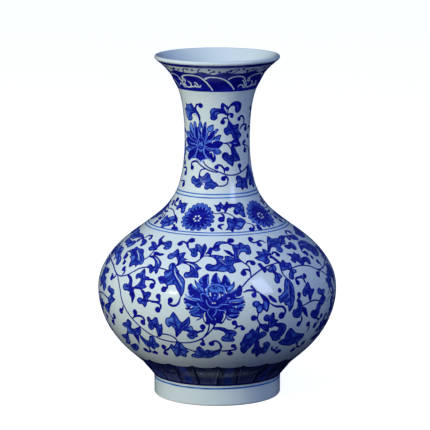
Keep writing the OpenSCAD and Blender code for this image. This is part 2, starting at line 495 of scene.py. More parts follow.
    def build(self, materials, replaces=None):
        """One thin closed solid for each tone of the painting."""
        places, tones = self.triangles()
        for tone, faces in tones.items():
            used = sorted({i for face in faces for i in face})
            index = {old: new for new, old in enumerate(used)}
            count = len(used)
            spots = places[used]
            top, normal = on_wall(spots[:, 0], spots[:, 1], LEAF_THICKNESS)
            under, _ = on_wall(spots[:, 0], spots[:, 1], -SINK)
            front = [tuple(index[i] for i in face) for face in faces]
            edges = {}
            for face in front:
                for a, b in zip(face, face[1:] + face[:1]):
                    edges[(a, b)] = edges.get((a, b), 0) + 1
            back = [tuple(i + count for i in face[::-1]) for face in front]
            walls = [(b, a, a + count, b + count) for a, b in edges if (b, a) not in edges]
            piece = new_piece(f"{self.name}_{tone}", np.vstack([top, under]), front + back + walls,
                              materials[tone], (replaces or {}).get(tone, ()))
            mesh = piece.data
            mesh.polygons.foreach_set("use_smooth", [True] * len(mesh.polygons))
            mesh.normals_split_custom_set_from_vertices(np.vstack([normal, -normal]).tolist())
            if tone in ("wash", "shade") and self.ribs:
                self.mark_depth(mesh, spots)

    def mark_depth(self, mesh, spots):
        """Writes how deep the wash lies at each point: 1 on a leaf's rib, falling to 0 away from it."""
        ribs = np.vstack(self.ribs)
        rib_places, _ = on_wall(ribs[:, 0], ribs[:, 1])
        tree = kdtree.KDTree(len(rib_places))
        for i, place in enumerate(rib_places):
            tree.insert(place, i)
        tree.balance()
        places, _ = on_wall(spots[:, 0], spots[:, 1])
        depth = [max(0.0, 1 - tree.find(place)[2] / (RIB_REACH * MM)) for place in places]
        layer = mesh.attributes.new("depth", "FLOAT", "POINT")
        layer.data.foreach_set("value", depth + depth)


# ---------------------------------------------------------------- the painted zones


def ring_line(painting, run, width):
    """A thin line painted on the turning wheel, so its width wavers a little."""
    turns = np.arange(0, 361, 3.0)
    waver = 0.07 * np.sin(np.radians(turns * 5)) + 0.05 * np.sin(np.radians(turns * 13 + 40))
    low = run + waver
    high = run + width - waver[::-1]
    for i in range(len(turns) - 1):
        painting.lay("thread", [(turns[i], low[i]), (turns[i + 1], low[i + 1]),
                                (turns[i + 1], high[i + 1]), (turns[i], high[i])])


def band(painting, tone, low, high, start, step, span=360.0):
    """A band from the run low up to high, which is a run or a function of the turn."""
    turns = np.linspace(start, start + span, round(span / step) + 1)
    highs = [high(t) if callable(high) else high for t in turns]
    for i in range(len(turns) - 1):
        painting.lay(tone, [(turns[i], low), (turns[i + 1], low),
                            (turns[i + 1], highs[i + 1]), (turns[i], highs[i])])


def peony_petals(p):
    """The petals of the large flower: dark ones, pale patches on them, and the dark middle."""
    for edge in (
        ((-6.8, 143), (-8.4, 147), (-9.4, 151), (-8.6, 154.5), (-6.8, 157.4), (-5, 159.2), (-4.1, 158),
         (-4.2, 154), (-4, 148)),
        ((-4, 145), (-3.3, 149), (-2.9, 153.5), (-2.2, 157.6), (-0.9, 160.2), (0.1, 160), (0.4, 157),
         (1.5, 153), (1.8, 148)),
        ((1.4, 145), (2, 150), (2.6, 154.5), (3.5, 158), (4.5, 157.3), (5.7, 154.4), (6.4, 151),
         (6.5, 147.6), (4.6, 143.5)),
        ((-13, 149.3), (-14.2, 147.2), (-14.4, 144), (-13.9, 140.3), (-12.9, 137.2), (-10, 134.6),
         (-7, 137), (-7.4, 141), (-9.6, 144.6), (-11.6, 147)),
        ((11, 147.9), (11.9, 146.4), (12.2, 143), (11.7, 139.6), (10.8, 137), (7, 135.4), (4.4, 136.4),
         (4, 139.5), (6, 141.2), (8.5, 143.6), (10, 146)),
        ((-15.5, 135.4), (-15.9, 133), (-15.4, 130), (-14.4, 127.4), (-15, 125.3), (-13.6, 123.8),
         (-11.6, 125), (-8, 126), (-6, 130), (-8.4, 133), (-11.4, 133), (-13.6, 133.7)),
        ((12.6, 134.4), (13.1, 131.4), (12.9, 128.4), (12.2, 125.4), (11.7, 123.2), (10.2, 122.8),
         (8, 124.6), (5, 126.6), (4.6, 130.5), (7, 131.2), (10, 131.4), (11.6, 132.4)),
        ((-13.2, 121.6), (-12.6, 119.3), (-11.2, 117.8), (-9.4, 117.3), (-7.4, 117.6), (-6.3, 119.6),
         (-6, 123), (-7.4, 126), (-10.4, 126.6), (-12.4, 124.6)),
        ((4, 124.5), (4.3, 120), (5.2, 117.5), (7, 116), (8.8, 116.3), (9.9, 118), (10.5, 120.6),
         (10, 123), (8.4, 125.4), (6, 126)),
        ((-15.4, 139), (-14.6, 136.4), (-12.4, 134.2), (-8, 132.6), (-6.6, 134), (-8, 135.6), (-11, 136),
         (-13.6, 137)),
        ((12.5, 137.1), (12, 134.2), (10.5, 132.2), (7, 131.4), (4.6, 131.4), (4.4, 134), (6.5, 135.6),
         (9, 135.7), (11, 136)),
    ):
        p.fill("line", edge)
    for edge, light in (
        (((-11.4, 153.2), (-11, 149.2), (-10, 146), (-8.6, 142.8), (-6.6, 140), (-5.2, 141.5),
          (-6.6, 145), (-8.4, 148), (-10.2, 151)),
         ((-10.7, 150.2), (-9.8, 147), (-8.2, 143.6), (-6.4, 141.2), (-6.8, 144.4), (-8.4, 147),
          (-9.8, 149.4))),
        (((8.4, 151.6), (8.7, 149.4), (8.4, 146), (7.4, 143.2), (5, 140.6), (4, 142.6), (5, 146),
          (6.5, 148), (7.5, 149.6)),
         ((8.1, 149.2), (7.9, 146), (6.8, 143.8), (5, 142), (5, 144.4), (6.4, 146.8), (7.4, 148.2))),
    ):
        p.fill("line", edge)
        p.fill("wash", light)
    for edge in (
        ((-13, 122.3), (-12.2, 124.2), (-10.2, 125.7), (-8.4, 125.5), (-8.6, 123.6), (-10.4, 121.6),
         (-12.2, 121)),
        ((5.4, 124.6), (6.8, 125.3), (9, 124.2), (10.2, 122.8), (8.8, 122.2), (6.6, 122.8)),
        ((-12.2, 147.6), (-10.4, 145.6), (-8, 142), (-8.4, 141.4), (-10.6, 143.4), (-12.2, 145.8)),
        ((9.4, 144.6), (7.4, 142.4), (5.6, 140.6), (6.4, 140.2), (8.4, 142), (10, 144)),
        ((-15, 138.2), (-13, 136.2), (-10, 135), (-7.4, 134.6), (-6.8, 133.4), (-9, 133.4),
         (-12.4, 134.6), (-14.4, 136.4)),
        ((12.2, 136.6), (11, 134.6), (8, 133.6), (5.4, 133.4), (5, 132.2), (8, 132.2), (10.6, 133),
         (12, 134.8)),
        ((-15, 129.2), (-12, 127), (-9, 126.4), (-8, 127.6), (-11, 128.2), (-13.6, 130.2)),
        ((12.4, 128.2), (10.6, 127), (8, 126.8), (7, 127.8), (10, 128.6), (12, 130)),
        ((-12.6, 120.6), (-10.6, 119.1), (-8.2, 118.9), (-7.8, 120.1), (-10.4, 120.5)),
        ((9.8, 120.2), (8, 118.8), (5.8, 118.6), (5.6, 119.8), (8, 120.2)),
        ((-7.6, 156.2), (-8.6, 153.4), (-8, 150.6), (-7, 150.4), (-7.6, 153)),
        ((5, 156), (5.9, 153), (5.6, 150.4), (4.9, 151), (5, 153.6)),
    ):
        p.fill("wash", edge)
    p.stroke((-12.6, 121.6), (-10.8, 123.4), (-9, 124.8), width=0.7)
    p.stroke((5.8, 124.4), (7.6, 123.9), (9.4, 122.8), width=0.7)
    p.fill("line", ((-5.7, 112), (-5.2, 110.4), (-4, 110.2), (-3.2, 111.4), (-2.4, 110.3), (-1.6, 109.7),
                    (-0.8, 110.6), (0, 111.8), (1, 111.3), (2, 110.9), (2.6, 112.3), (2.7, 115.6),
                    (3.3, 119), (3.4, 124), (0, 128), (-4, 128), (-6.4, 123), (-5.4, 117)))
    p.fill("line", ((-9.4, 131.4), (-9, 128), (-7.4, 125), (-5, 123), (-1, 122), (3, 123), (5.6, 126),
                    (5.8, 130), (5, 134), (4.4, 138), (3, 142), (-4, 142), (-7, 140.6), (-8.2, 138),
                    (-8, 134)))


def peony_lines(p):
    """The pale lines on the petals, and the bare and dark ones between them."""
    for line, width in (
        (((-9.1, 153.4), (-9, 149.8), (-8.1, 147.8), (-7, 148.6)), 0.8),
        (((-4.6, 156.6), (-4.7, 152), (-4.3, 147.4)), 1.0),
        (((-2.5, 155.4), (-3.1, 152.6), (-2.8, 150.6), (-1.7, 149.8)), 0.8),
        (((0, 158.4), (0.5, 154), (1.2, 150)), 1.3),
        (((4, 149.8), (4, 147.6), (4.8, 146.3), (6, 147)), 0.8), (((5.6, 154.6), (6, 150.4)), 0.7),
        (((-13.9, 141.4), (-13.4, 138.2), (-12.3, 136.9), (-11.2, 138.6)), 0.8),
        (((8.6, 139), (8.7, 137.3), (9.8, 136.3)), 0.9),
        (((-15, 138.4), (-13.5, 136), (-11.2, 135), (-8.6, 134.4), (-7.4, 132.4)), 1.0),
        (((-15.2, 136), (-13.4, 133.9), (-11.4, 133.2), (-9.4, 132.6)), 0.8),
        (((12.1, 136.4), (11.1, 134.2), (9, 133.3), (7, 133.2), (5.4, 131.4)), 1.3),
        (((12.3, 134), (11, 132.3), (9, 131.8)), 0.7), (((-7, 121.4), (-6.9, 118.8), (-8.2, 116.9)), 0.8),
        (((4.3, 120), (4.5, 117.6), (5.6, 116.1)), 0.8),
        (((-6.5, 132), (-7.4, 135.4), (-7.7, 138.8), (-6.8, 139.8), (-5.4, 138.9), (-4.5, 137)), 0.8),
        (((-9.3, 131.2), (-8.5, 128.6), (-7.2, 126.2), (-5.8, 124.7), (-4.8, 124.4)), 0.9),
        (((-5.2, 134.2), (-4.8, 131.4), (-4, 129)), 0.9),
        (((-4.6, 129.8), (-3.4, 127.8), (-1.6, 127.1), (0.2, 127.3), (1.2, 128.8), (1.9, 130.4)), 1.0),
        (((-4, 136), (-3.1, 133.4), (-2, 130.8)), 0.6),
        (((2, 128.2), (2.4, 129.8), (4, 129.7), (5.4, 129.4)), 0.8),
        (((3.8, 131.2), (4.6, 133.6), (5.4, 136.2)), 0.8), (((0, 125), (2, 124.2), (4, 124.6)), 0.7),
        (((-3.3, 126), (-4.2, 124.3), (-4.4, 121.8), (-3.8, 119.2), (-3, 116.8), (-1.9, 114.8)), 0.8),
        (((-0.5, 126), (-0.5, 123), (-1.1, 120.4), (-2.3, 118.4)), 0.8),
        (((-1, 117), (-0.7, 114.8)), 0.6),
    ):
        p.stroke(*line, width=width, tone="mist")
    for line in (((-5.6, 122.2), (-6, 119.6), (-5.5, 116.8), (-5.4, 113.4)),
                 ((3.2, 121.4), (3.2, 118), (2.7, 115.4), (2.2, 113.4)), ((-12.4, 126), (-11.5, 127.6)),
                 ((8.7, 128.2), (8.8, 126.2))):
        p.stroke(*line, width=1.0, tone="bare")
    for line in (((-6.4, 122), (-6.6, 118), (-6.2, 114.8), (-5.7, 112)),
                 ((3.9, 122), (4, 118), (3.3, 115), (2.6, 112)),
                 ((-6.9, 118.6), (-7.8, 116.4), (-9.8, 114.3)), ((4.2, 117.4), (5.2, 115.3), (6.8, 115))):
        p.stroke(*line, width=1.3)


def peony_heart(p):
    """The cup in the middle of the flower with its curls, and the nicks in the petals' edges."""
    p.fill("mist", ((-5.1, 139.6), (-5.3, 143.4), (-4.7, 146.6), (-3.1, 148.4), (-1, 149.2), (1.2, 148.4),
                    (3.1, 147.2), (3.8, 144.4), (3.6, 140), (2, 136), (-1, 134), (-3.8, 136)))
    p.fill("wash", ((-4.5, 139.6), (-4.7, 143.2), (-4.1, 145.9), (-2.8, 147.4), (-1, 148.2), (1, 147.4),
                    (2.6, 146.4), (3.2, 144.2), (3, 140), (1.6, 136.4), (-1, 134.6), (-3.4, 136.4)))
    p.stroke((-4.2, 141.8), (-4, 144.4), (-2.8, 146.4), (-1.4, 146.2), (-1.2, 144.8), (-2.2, 144.4),
             width=1.1)
    p.stroke((2.8, 141.8), (2.6, 144.4), (1.4, 146.2), (0, 146), (-0.2, 144.6), (0.8, 144.2), width=1.1)
    p.stroke((-3.6, 147.2), (-1, 147.9), (1.8, 147), width=0.6)
    p.fill("line",
           ((0.6, 141.2), (2.2, 142), (3.1, 140.4), (2.8, 138), (2, 135.6), (0.6, 134.4), (1.2, 137.6)))
    p.fill("line", ((-4.6, 139.8), (-4, 138), (-3.6, 135.8), (-1.8, 133.8), (-2.8, 136.6), (-3.6, 139.6)))
    p.fill("line", ((-2.6, 140.6), (-0.8, 141.4), (0.4, 139.4), (0, 135.6), (-1, 133.4), (-2.4, 134.8),
                    (-2.9, 137.8)))
    p.fill("line", ((-4.6, 141.6), (-3.4, 142.4), (-2.4, 141.6), (-3.6, 140.6)))
    p.dab(-1.1, 138.4, 0.9, tone="wash")
    p.dab(-1.6, 135.6, 0.6, tone="wash")
    p.stroke((-3.4, 141.2), (-3.3, 139), (-2.9, 137.4), width=1.1, tone="bare")
    p.stroke((1, 140), (1.2, 138), (1.3, 136.2), width=1.1, tone="bare")
    for notch in (((14, 133), (12.4, 132.5)), ((14, 130.2), (12.1, 130)), ((13.8, 127.4), (11.9, 127.5)),
                  ((12.9, 124.4), (11.3, 125)), ((-16.8, 132.8), (-15, 132.1)),
                  ((-16.6, 129.2), (-14.6, 129)), ((-15.8, 126.2), (-13.9, 126.7)),
                  ((-15.4, 143), (-13.6, 142.2)), ((-14.4, 120.4), (-12.2, 120.6)),
                  ((11.3, 119.6), (9.6, 120))):
        p.stroke(*notch, width=0.7, tone="bare")
    p.dab(2.4, 138.4, 0.7, tone="bare")
    p.dab(-2.1, 131.1, 0.7, tone="bare")
    p.dab(-1.1, 131.1, 0.7, tone="bare")


def peony(p):
    """The large flower on the front of the belly, from its back petals to its heart."""
    peony_petals(p)
    peony_lines(p)
    peony_heart(p)


def belly_stems(p):
    """The long tendrils that carry the leaves round the belly."""
    for line in (
        ((-90, 157.2), (-80, 157.3), (-70, 154.5), (-64, 150), (-58, 146.5), (-52, 149), (-48, 154),
         (-44, 159), (-38, 161.8), (-32, 162), (-26, 160)),
        ((-59, 146.5), (-54, 136), (-51, 124), (-46.5, 112.5), (-40, 101.5), (-33.5, 94), (-26, 90),
         (-18, 89.3), (-12, 91), (-7, 96), (-3, 104), (-0.8, 111)),
        ((-31.5, 92.8), (-28.5, 97), (-24.5, 97.2), (-21.3, 94.5), (-20.2, 90.5)),
        ((-3.6, 111), (-4.4, 103.5), (-6.3, 97.5)),
        ((12.0, 145.5), (16.5, 153.5), (23.5, 161.5), (30, 165.5), (36.5, 167.2)),
        ((-22.3, 168), (-19.5, 171.5), (-13, 170.8), (-10.3, 174), (-8.6, 178.3), (-3, 179)),
        ((12.3, 176), (14.3, 171.5), (17.2, 166.5), (17.6, 161), (17.4, 155)),
        ((12.5, 140.5), (15.5, 142), (18.6, 141), (21.2, 138)),
        ((19.6, 120), (18.9, 115), (20.3, 109.5), (20.3, 103.5), (19.6, 97)),
        ((36.5, 167.5), (35.6, 160), (35.8, 154), (37.2, 150)),
        ((41.5, 158.5), (46.5, 160), (52, 159.6), (58, 156.2), (63.2, 151.2), (70, 151), (77, 154.3),
         (90, 157.2)),
        ((63.5, 151), (69, 143.5), (73.2, 131), (77, 118), (84, 105), (94, 97)),
        ((-42.4, 190), (-42.2, 180), (-43.2, 172), (-47.2, 165)),
        ((-88, 116), (-80, 122), (-72, 124.3), (-65.5, 122.4), (-61, 120)),
        ((-40.2, 101.5), (-44, 98.5)),
        ((-16.6, 83), (-13.6, 80.2), (-10, 79)),
        ((57.4, 121.4), (54.6, 123.8), (51, 124.4), (47.6, 123.2), (44, 121.6)),
    ):
        p.stroke(*line, width=1.5, ends=(0.9, 0.9))


def belly_left_high(p):
    """The rows above the large flower, to the left."""
    for edge, veins in (
        (((-61, 191.4), (-66, 194.4), (-71, 195), (-75, 194.6), (-80, 197), (-85, 195.4), (-87.6, 191),
          (-86, 187), (-82, 184.6), (-77, 185), (-72.6, 184.8), (-70, 187.6), (-66, 190)),
         (((-63, 191.8), (-72, 191), (-83, 189)), ((-70, 191.4), (-76, 193.4), (-81, 194)),
          ((-73, 190.6), (-78, 187.6)))),
        (((-64.6, 184), (-68, 185.2), (-72, 183.4), (-76, 184), (-81, 184.4), (-82.4, 181), (-80, 177.4),
          (-76.6, 178.4), (-73.4, 176), (-71, 176.6), (-68.6, 175), (-66, 177.4), (-64.4, 180.6)),
         (((-65.6, 182.6), (-72, 180.6), (-79, 180.4)), ((-70, 181.4), (-74, 183)),
          ((-70, 180.6), (-72, 178)))),
        (((-60.6, 190.6), (-57, 190.2), (-54.2, 188.6), (-53.4, 185.4), (-54.6, 182.6), (-56, 181.2),
          (-57.8, 182.4), (-58.2, 185.2), (-60.4, 187.6)),
         (((-60, 189.4), (-56.6, 187.4), (-55.6, 184)),)),
        (((-59.4, 180), (-56, 178.8), (-52, 179.2), (-49.4, 176.8), (-47.8, 173), (-45.6, 170),
          (-44.4, 166), (-44.8, 162.6), (-47.4, 161.4), (-48.2, 158.6), (-50, 160.6), (-52.6, 157.2),
          (-54.2, 159.4), (-54.8, 163.4), (-55.8, 165.6), (-57.8, 167), (-58.4, 169.6), (-60.4, 171.2),
          (-63.4, 172.6), (-62.6, 174.8), (-60.6, 177)),
         (((-58.6, 178.6), (-55, 172.6), (-51, 166), (-48, 160.4)),
          ((-57, 175.4), (-51.6, 175.4), (-49.2, 172.6)),
          ((-53.6, 170.6), (-48.8, 169.6), (-46.2, 166.4)), ((-56.4, 174.4), (-60, 174.6)),
          ((-54, 171), (-57.2, 169)), ((-51.6, 166.8), (-53.2, 162), (-52.6, 159)),
          ((-50.4, 164.6), (-47.4, 164.4)))),
        (((-50.4, 189.6), (-47.6, 190.4), (-45.4, 189.2), (-43.2, 187), (-41.2, 184.4), (-40.6, 180.8),
          (-42.8, 180.4), (-44.4, 178.8), (-46.8, 179.6), (-48.2, 182), (-47.2, 184.8), (-48.6, 187)),
         (((-41.6, 181.6), (-44.8, 185), (-48.8, 188.6)), ((-43.8, 183.6), (-46.8, 182)))),
        (((-41.4, 191.4), (-38.6, 192), (-37, 194), (-34.8, 194.6), (-32.8, 193), (-31.7, 189.6),
          (-31.3, 186), (-32.8, 183.3), (-35.2, 183), (-37, 184.6), (-36.4, 186.4), (-38, 188),
          (-40.6, 188)),
         (((-40.6, 189.6), (-36, 190.8), (-33.4, 187)), ((-35.2, 190.2), (-34.4, 192.8)))),
        (((-43.4, 172.6), (-40, 174.8), (-37, 173.6), (-34.4, 171), (-32.4, 168), (-31.9, 164.6),
          (-32.4, 161), (-32.3, 157), (-33.4, 155.3), (-34.8, 158), (-36.4, 154.8), (-38, 157.4),
          (-38.6, 159.6), (-40.5, 160.4), (-39.6, 164.3), (-37.8, 164.4), (-36.3, 162.4), (-36.2, 165.4),
          (-37.4, 168.6), (-39.4, 171), (-42, 171.6)),
         (((-41, 173), (-36.6, 170), (-34.2, 165), (-33.6, 158)),
          ((-35, 162.6), (-36.6, 159.6), (-36.4, 157)), ((-36, 161.6), (-38.6, 162.2)))),
        (((-26, 186), (-24.5, 183.4), (-23.4, 180.6), (-21.5, 182), (-19.7, 182), (-19.8, 178),
          (-19.8, 175.6), (-17.2, 174), (-19.2, 172.2), (-19.6, 170), (-21.5, 166.4), (-23.2, 165.8),
          (-22.7, 169.5), (-23.6, 173), (-25, 175.6), (-26.4, 173.8), (-28, 172.2), (-30.2, 173.8),
          (-30.6, 177), (-29.6, 179.7), (-28.2, 180.2), (-27.3, 183)),
         (((-22, 167.6), (-21.8, 173.6), (-23.8, 178), (-25.8, 184)), ((-24.4, 178.6), (-28.4, 177)),
          ((-21.8, 174.6), (-21, 180)))),
        (((-18.6, 186.2), (-16, 188), (-14.8, 188.8), (-15.2, 192.6), (-13.5, 193.4), (-11.5, 192.2),
          (-10.2, 190.2), (-9.5, 192.6), (-8.5, 194.4), (-7.1, 191), (-6.6, 188), (-7.2, 184),
          (-7.8, 181), (-8.4, 176.6), (-10.2, 175.6), (-10.3, 180), (-11.2, 183.2), (-12.4, 183),
          (-11.8, 180), (-12.5, 177.4), (-14.5, 176.8), (-16.2, 179.3), (-16.4, 182)),
         (((-9.4, 177), (-9, 183), (-10.2, 188)), ((-9, 183), (-8.4, 190.6)),
          ((-12.6, 184), (-13.4, 190)), ((-11.6, 184.6), (-15.4, 185.6)),
          ((-14.6, 183.4), (-14.2, 179.6)))),
        (((-20.2, 169.4), (-17.5, 171.4), (-14, 170.5), (-11.5, 169.5), (-10.1, 167), (-8.2, 164.7),
          (-10.2, 162.4), (-9.7, 159), (-9.6, 154.8), (-12, 154.8), (-14, 154.6), (-16.4, 154),
          (-17.5, 157), (-16.8, 160.2), (-15, 160.6), (-14.7, 163), (-15.2, 166), (-16.6, 168)),
         (((-17.6, 169.8), (-13.4, 166), (-12, 160), (-11.4, 156)), ((-12.8, 165.2), (-9.8, 164.6)),
          ((-13.4, 161.8), (-15.4, 158)), ((-12.2, 158.6), (-14, 156)))),
        (((-27.2, 165.4), (-26.4, 168.6), (-24.4, 169), (-22.9, 166), (-21.8, 163), (-20.4, 161),
          (-20, 158.5), (-18.3, 156), (-17.1, 154), (-16.1, 151), (-15.9, 147), (-15.8, 143),
          (-16.2, 139), (-17.3, 135.4), (-18.6, 139.6), (-20, 143), (-21.2, 146.6), (-23.5, 145.8),
          (-25, 144.8), (-26.6, 147), (-28.7, 146.3), (-30.2, 149), (-31.2, 152.2), (-29.6, 154.2),
          (-27.9, 154.7), (-28.7, 157.5), (-28.2, 160), (-26.7, 160.7), (-26.9, 163)),
         (((-25, 167.4), (-23.6, 159), (-20.6, 151), (-18, 144), (-17.3, 137.6)),
          ((-24.6, 161.6), (-27, 158)), ((-23, 157.4), (-26, 152.6), (-29.6, 151)),
          ((-22.6, 154.8), (-25.4, 149), (-27.4, 148)), ((-22, 160), (-20.2, 157)),
          ((-20, 152.6), (-17.6, 149)), ((-21.6, 151.6), (-22.4, 147.6)))),
    ):
        p.drawn_leaf(edge, *veins)


def belly_left_middle(p):
    """The leaves to the left, level with the flower and far round."""
    for edge, veins in (
        (((-79.4, 174.2), (-76, 173.2), (-72, 173.2), (-70, 169), (-68.2, 165.4), (-65.4, 163.6),
          (-63.6, 160), (-64.4, 155.6), (-66.5, 155.2), (-68.5, 158.5), (-71.4, 160.6), (-72.5, 158),
          (-75.4, 162), (-79.4, 164), (-80, 169)),
         (((-77, 172), (-72, 166), (-67, 160), (-65.6, 157)), ((-73, 167.2), (-70.6, 169)),
          ((-72.4, 166.4), (-76.4, 166.4)))),
        (((-91, 168), (-87, 167.6), (-84, 165), (-80.4, 163), (-82, 160), (-86, 160), (-90, 161.6),
          (-94, 164)), (((-83, 163), (-89, 164.4)),)),
        (((-84, 156.6), (-80, 156.4), (-76.6, 154.4), (-78, 151), (-80.2, 148.4), (-84, 150.6),
          (-86.4, 154)), (((-84, 155), (-80, 152)),)),
        (((-41.4, 159.4), (-39.8, 156), (-39, 152.2), (-37.5, 152), (-35.8, 150.6), (-36.1, 148.4),
          (-37.8, 147.4), (-37.4, 144), (-36, 142), (-38, 139.4), (-42, 139.2), (-44.4, 139.2),
          (-42.6, 142), (-41.5, 145), (-41.2, 148), (-42.5, 149), (-43.9, 147.3), (-45.2, 150),
          (-44.8, 153), (-43.2, 154.2), (-42.6, 156.6)),
         (((-40.4, 140.6), (-39.8, 147), (-40.8, 152), (-41.3, 157)), ((-40, 148.6), (-37.4, 149.6)),
          ((-41.4, 151.4), (-43.8, 151.6)), ((-39.8, 143.6), (-37.6, 142)))),
        (((-52.2, 149.5), (-50, 150.2), (-47.4, 148.2), (-45.9, 144.5), (-45.4, 140.5), (-44.9, 137),
          (-46, 134.2), (-48, 134.8), (-50.2, 134.6), (-51.7, 137), (-51.7, 140.2), (-49.5, 141.6),
          (-48.6, 140.6), (-48.4, 144), (-49.6, 147)),
         (((-50.4, 148.6), (-47.4, 145), (-46.8, 139), (-46.6, 136)), ((-47.2, 139.6), (-49.8, 138.4)))),
        (((-40.4, 139.4), (-37.5, 138.4), (-36.4, 136.8), (-34.4, 137.9), (-32.8, 136.4), (-33.3, 133),
          (-34.3, 131), (-32.3, 129.2), (-34.4, 127.8), (-34.9, 125), (-36, 122.3), (-37.6, 124.8),
          (-39.6, 125), (-40.9, 128), (-40.1, 130.7), (-38.6, 131.2), (-37.3, 130.4), (-37.7, 133.5),
          (-39, 137)),
         (((-38.6, 138), (-36.4, 132), (-35.9, 124.6)), ((-36.4, 132.6), (-34.2, 135.6)),
          ((-36.2, 129), (-38.8, 127.4)), ((-36, 128), (-34.6, 129)))),
        (((-65.2, 132.8), (-63.6, 134.8), (-61.8, 133.2), (-58.7, 132.6), (-58, 129), (-59.3, 126),
          (-56.8, 124), (-57.7, 122), (-60, 119), (-62, 117.3), (-64.2, 118.5), (-64.6, 121),
          (-63.2, 124.5), (-61.6, 127), (-63.6, 128.4), (-65.4, 130)),
         (((-62.4, 119.6), (-60.2, 125), (-61.4, 131)), ((-60.6, 124), (-58.4, 123.4)),
          ((-61, 129), (-63.6, 131)))),
        (((-60.8, 118.8), (-62.8, 113), (-64.4, 108), (-65.5, 106), (-67.6, 107.3), (-69.9, 109.5),
          (-69.8, 113), (-67, 115.7), (-64.6, 117.6)),
         (((-62.4, 117.4), (-65, 112.6), (-66, 108)), ((-65, 112.6), (-68.6, 112.4)))),
        (((-80, 136), (-75, 138.2), (-72, 140.8), (-69.8, 140.2), (-69.3, 136), (-67.2, 133.4),
          (-67.8, 130), (-70, 126.6), (-72.2, 129), (-73.7, 132), (-77, 132.2), (-80, 133.6)),
         (((-78, 135), (-72, 135), (-69, 131)), ((-73.4, 135.2), (-71, 138.6)),
          ((-72, 134.8), (-71, 130.4)))),
    ):
        p.drawn_leaf(edge, *veins)


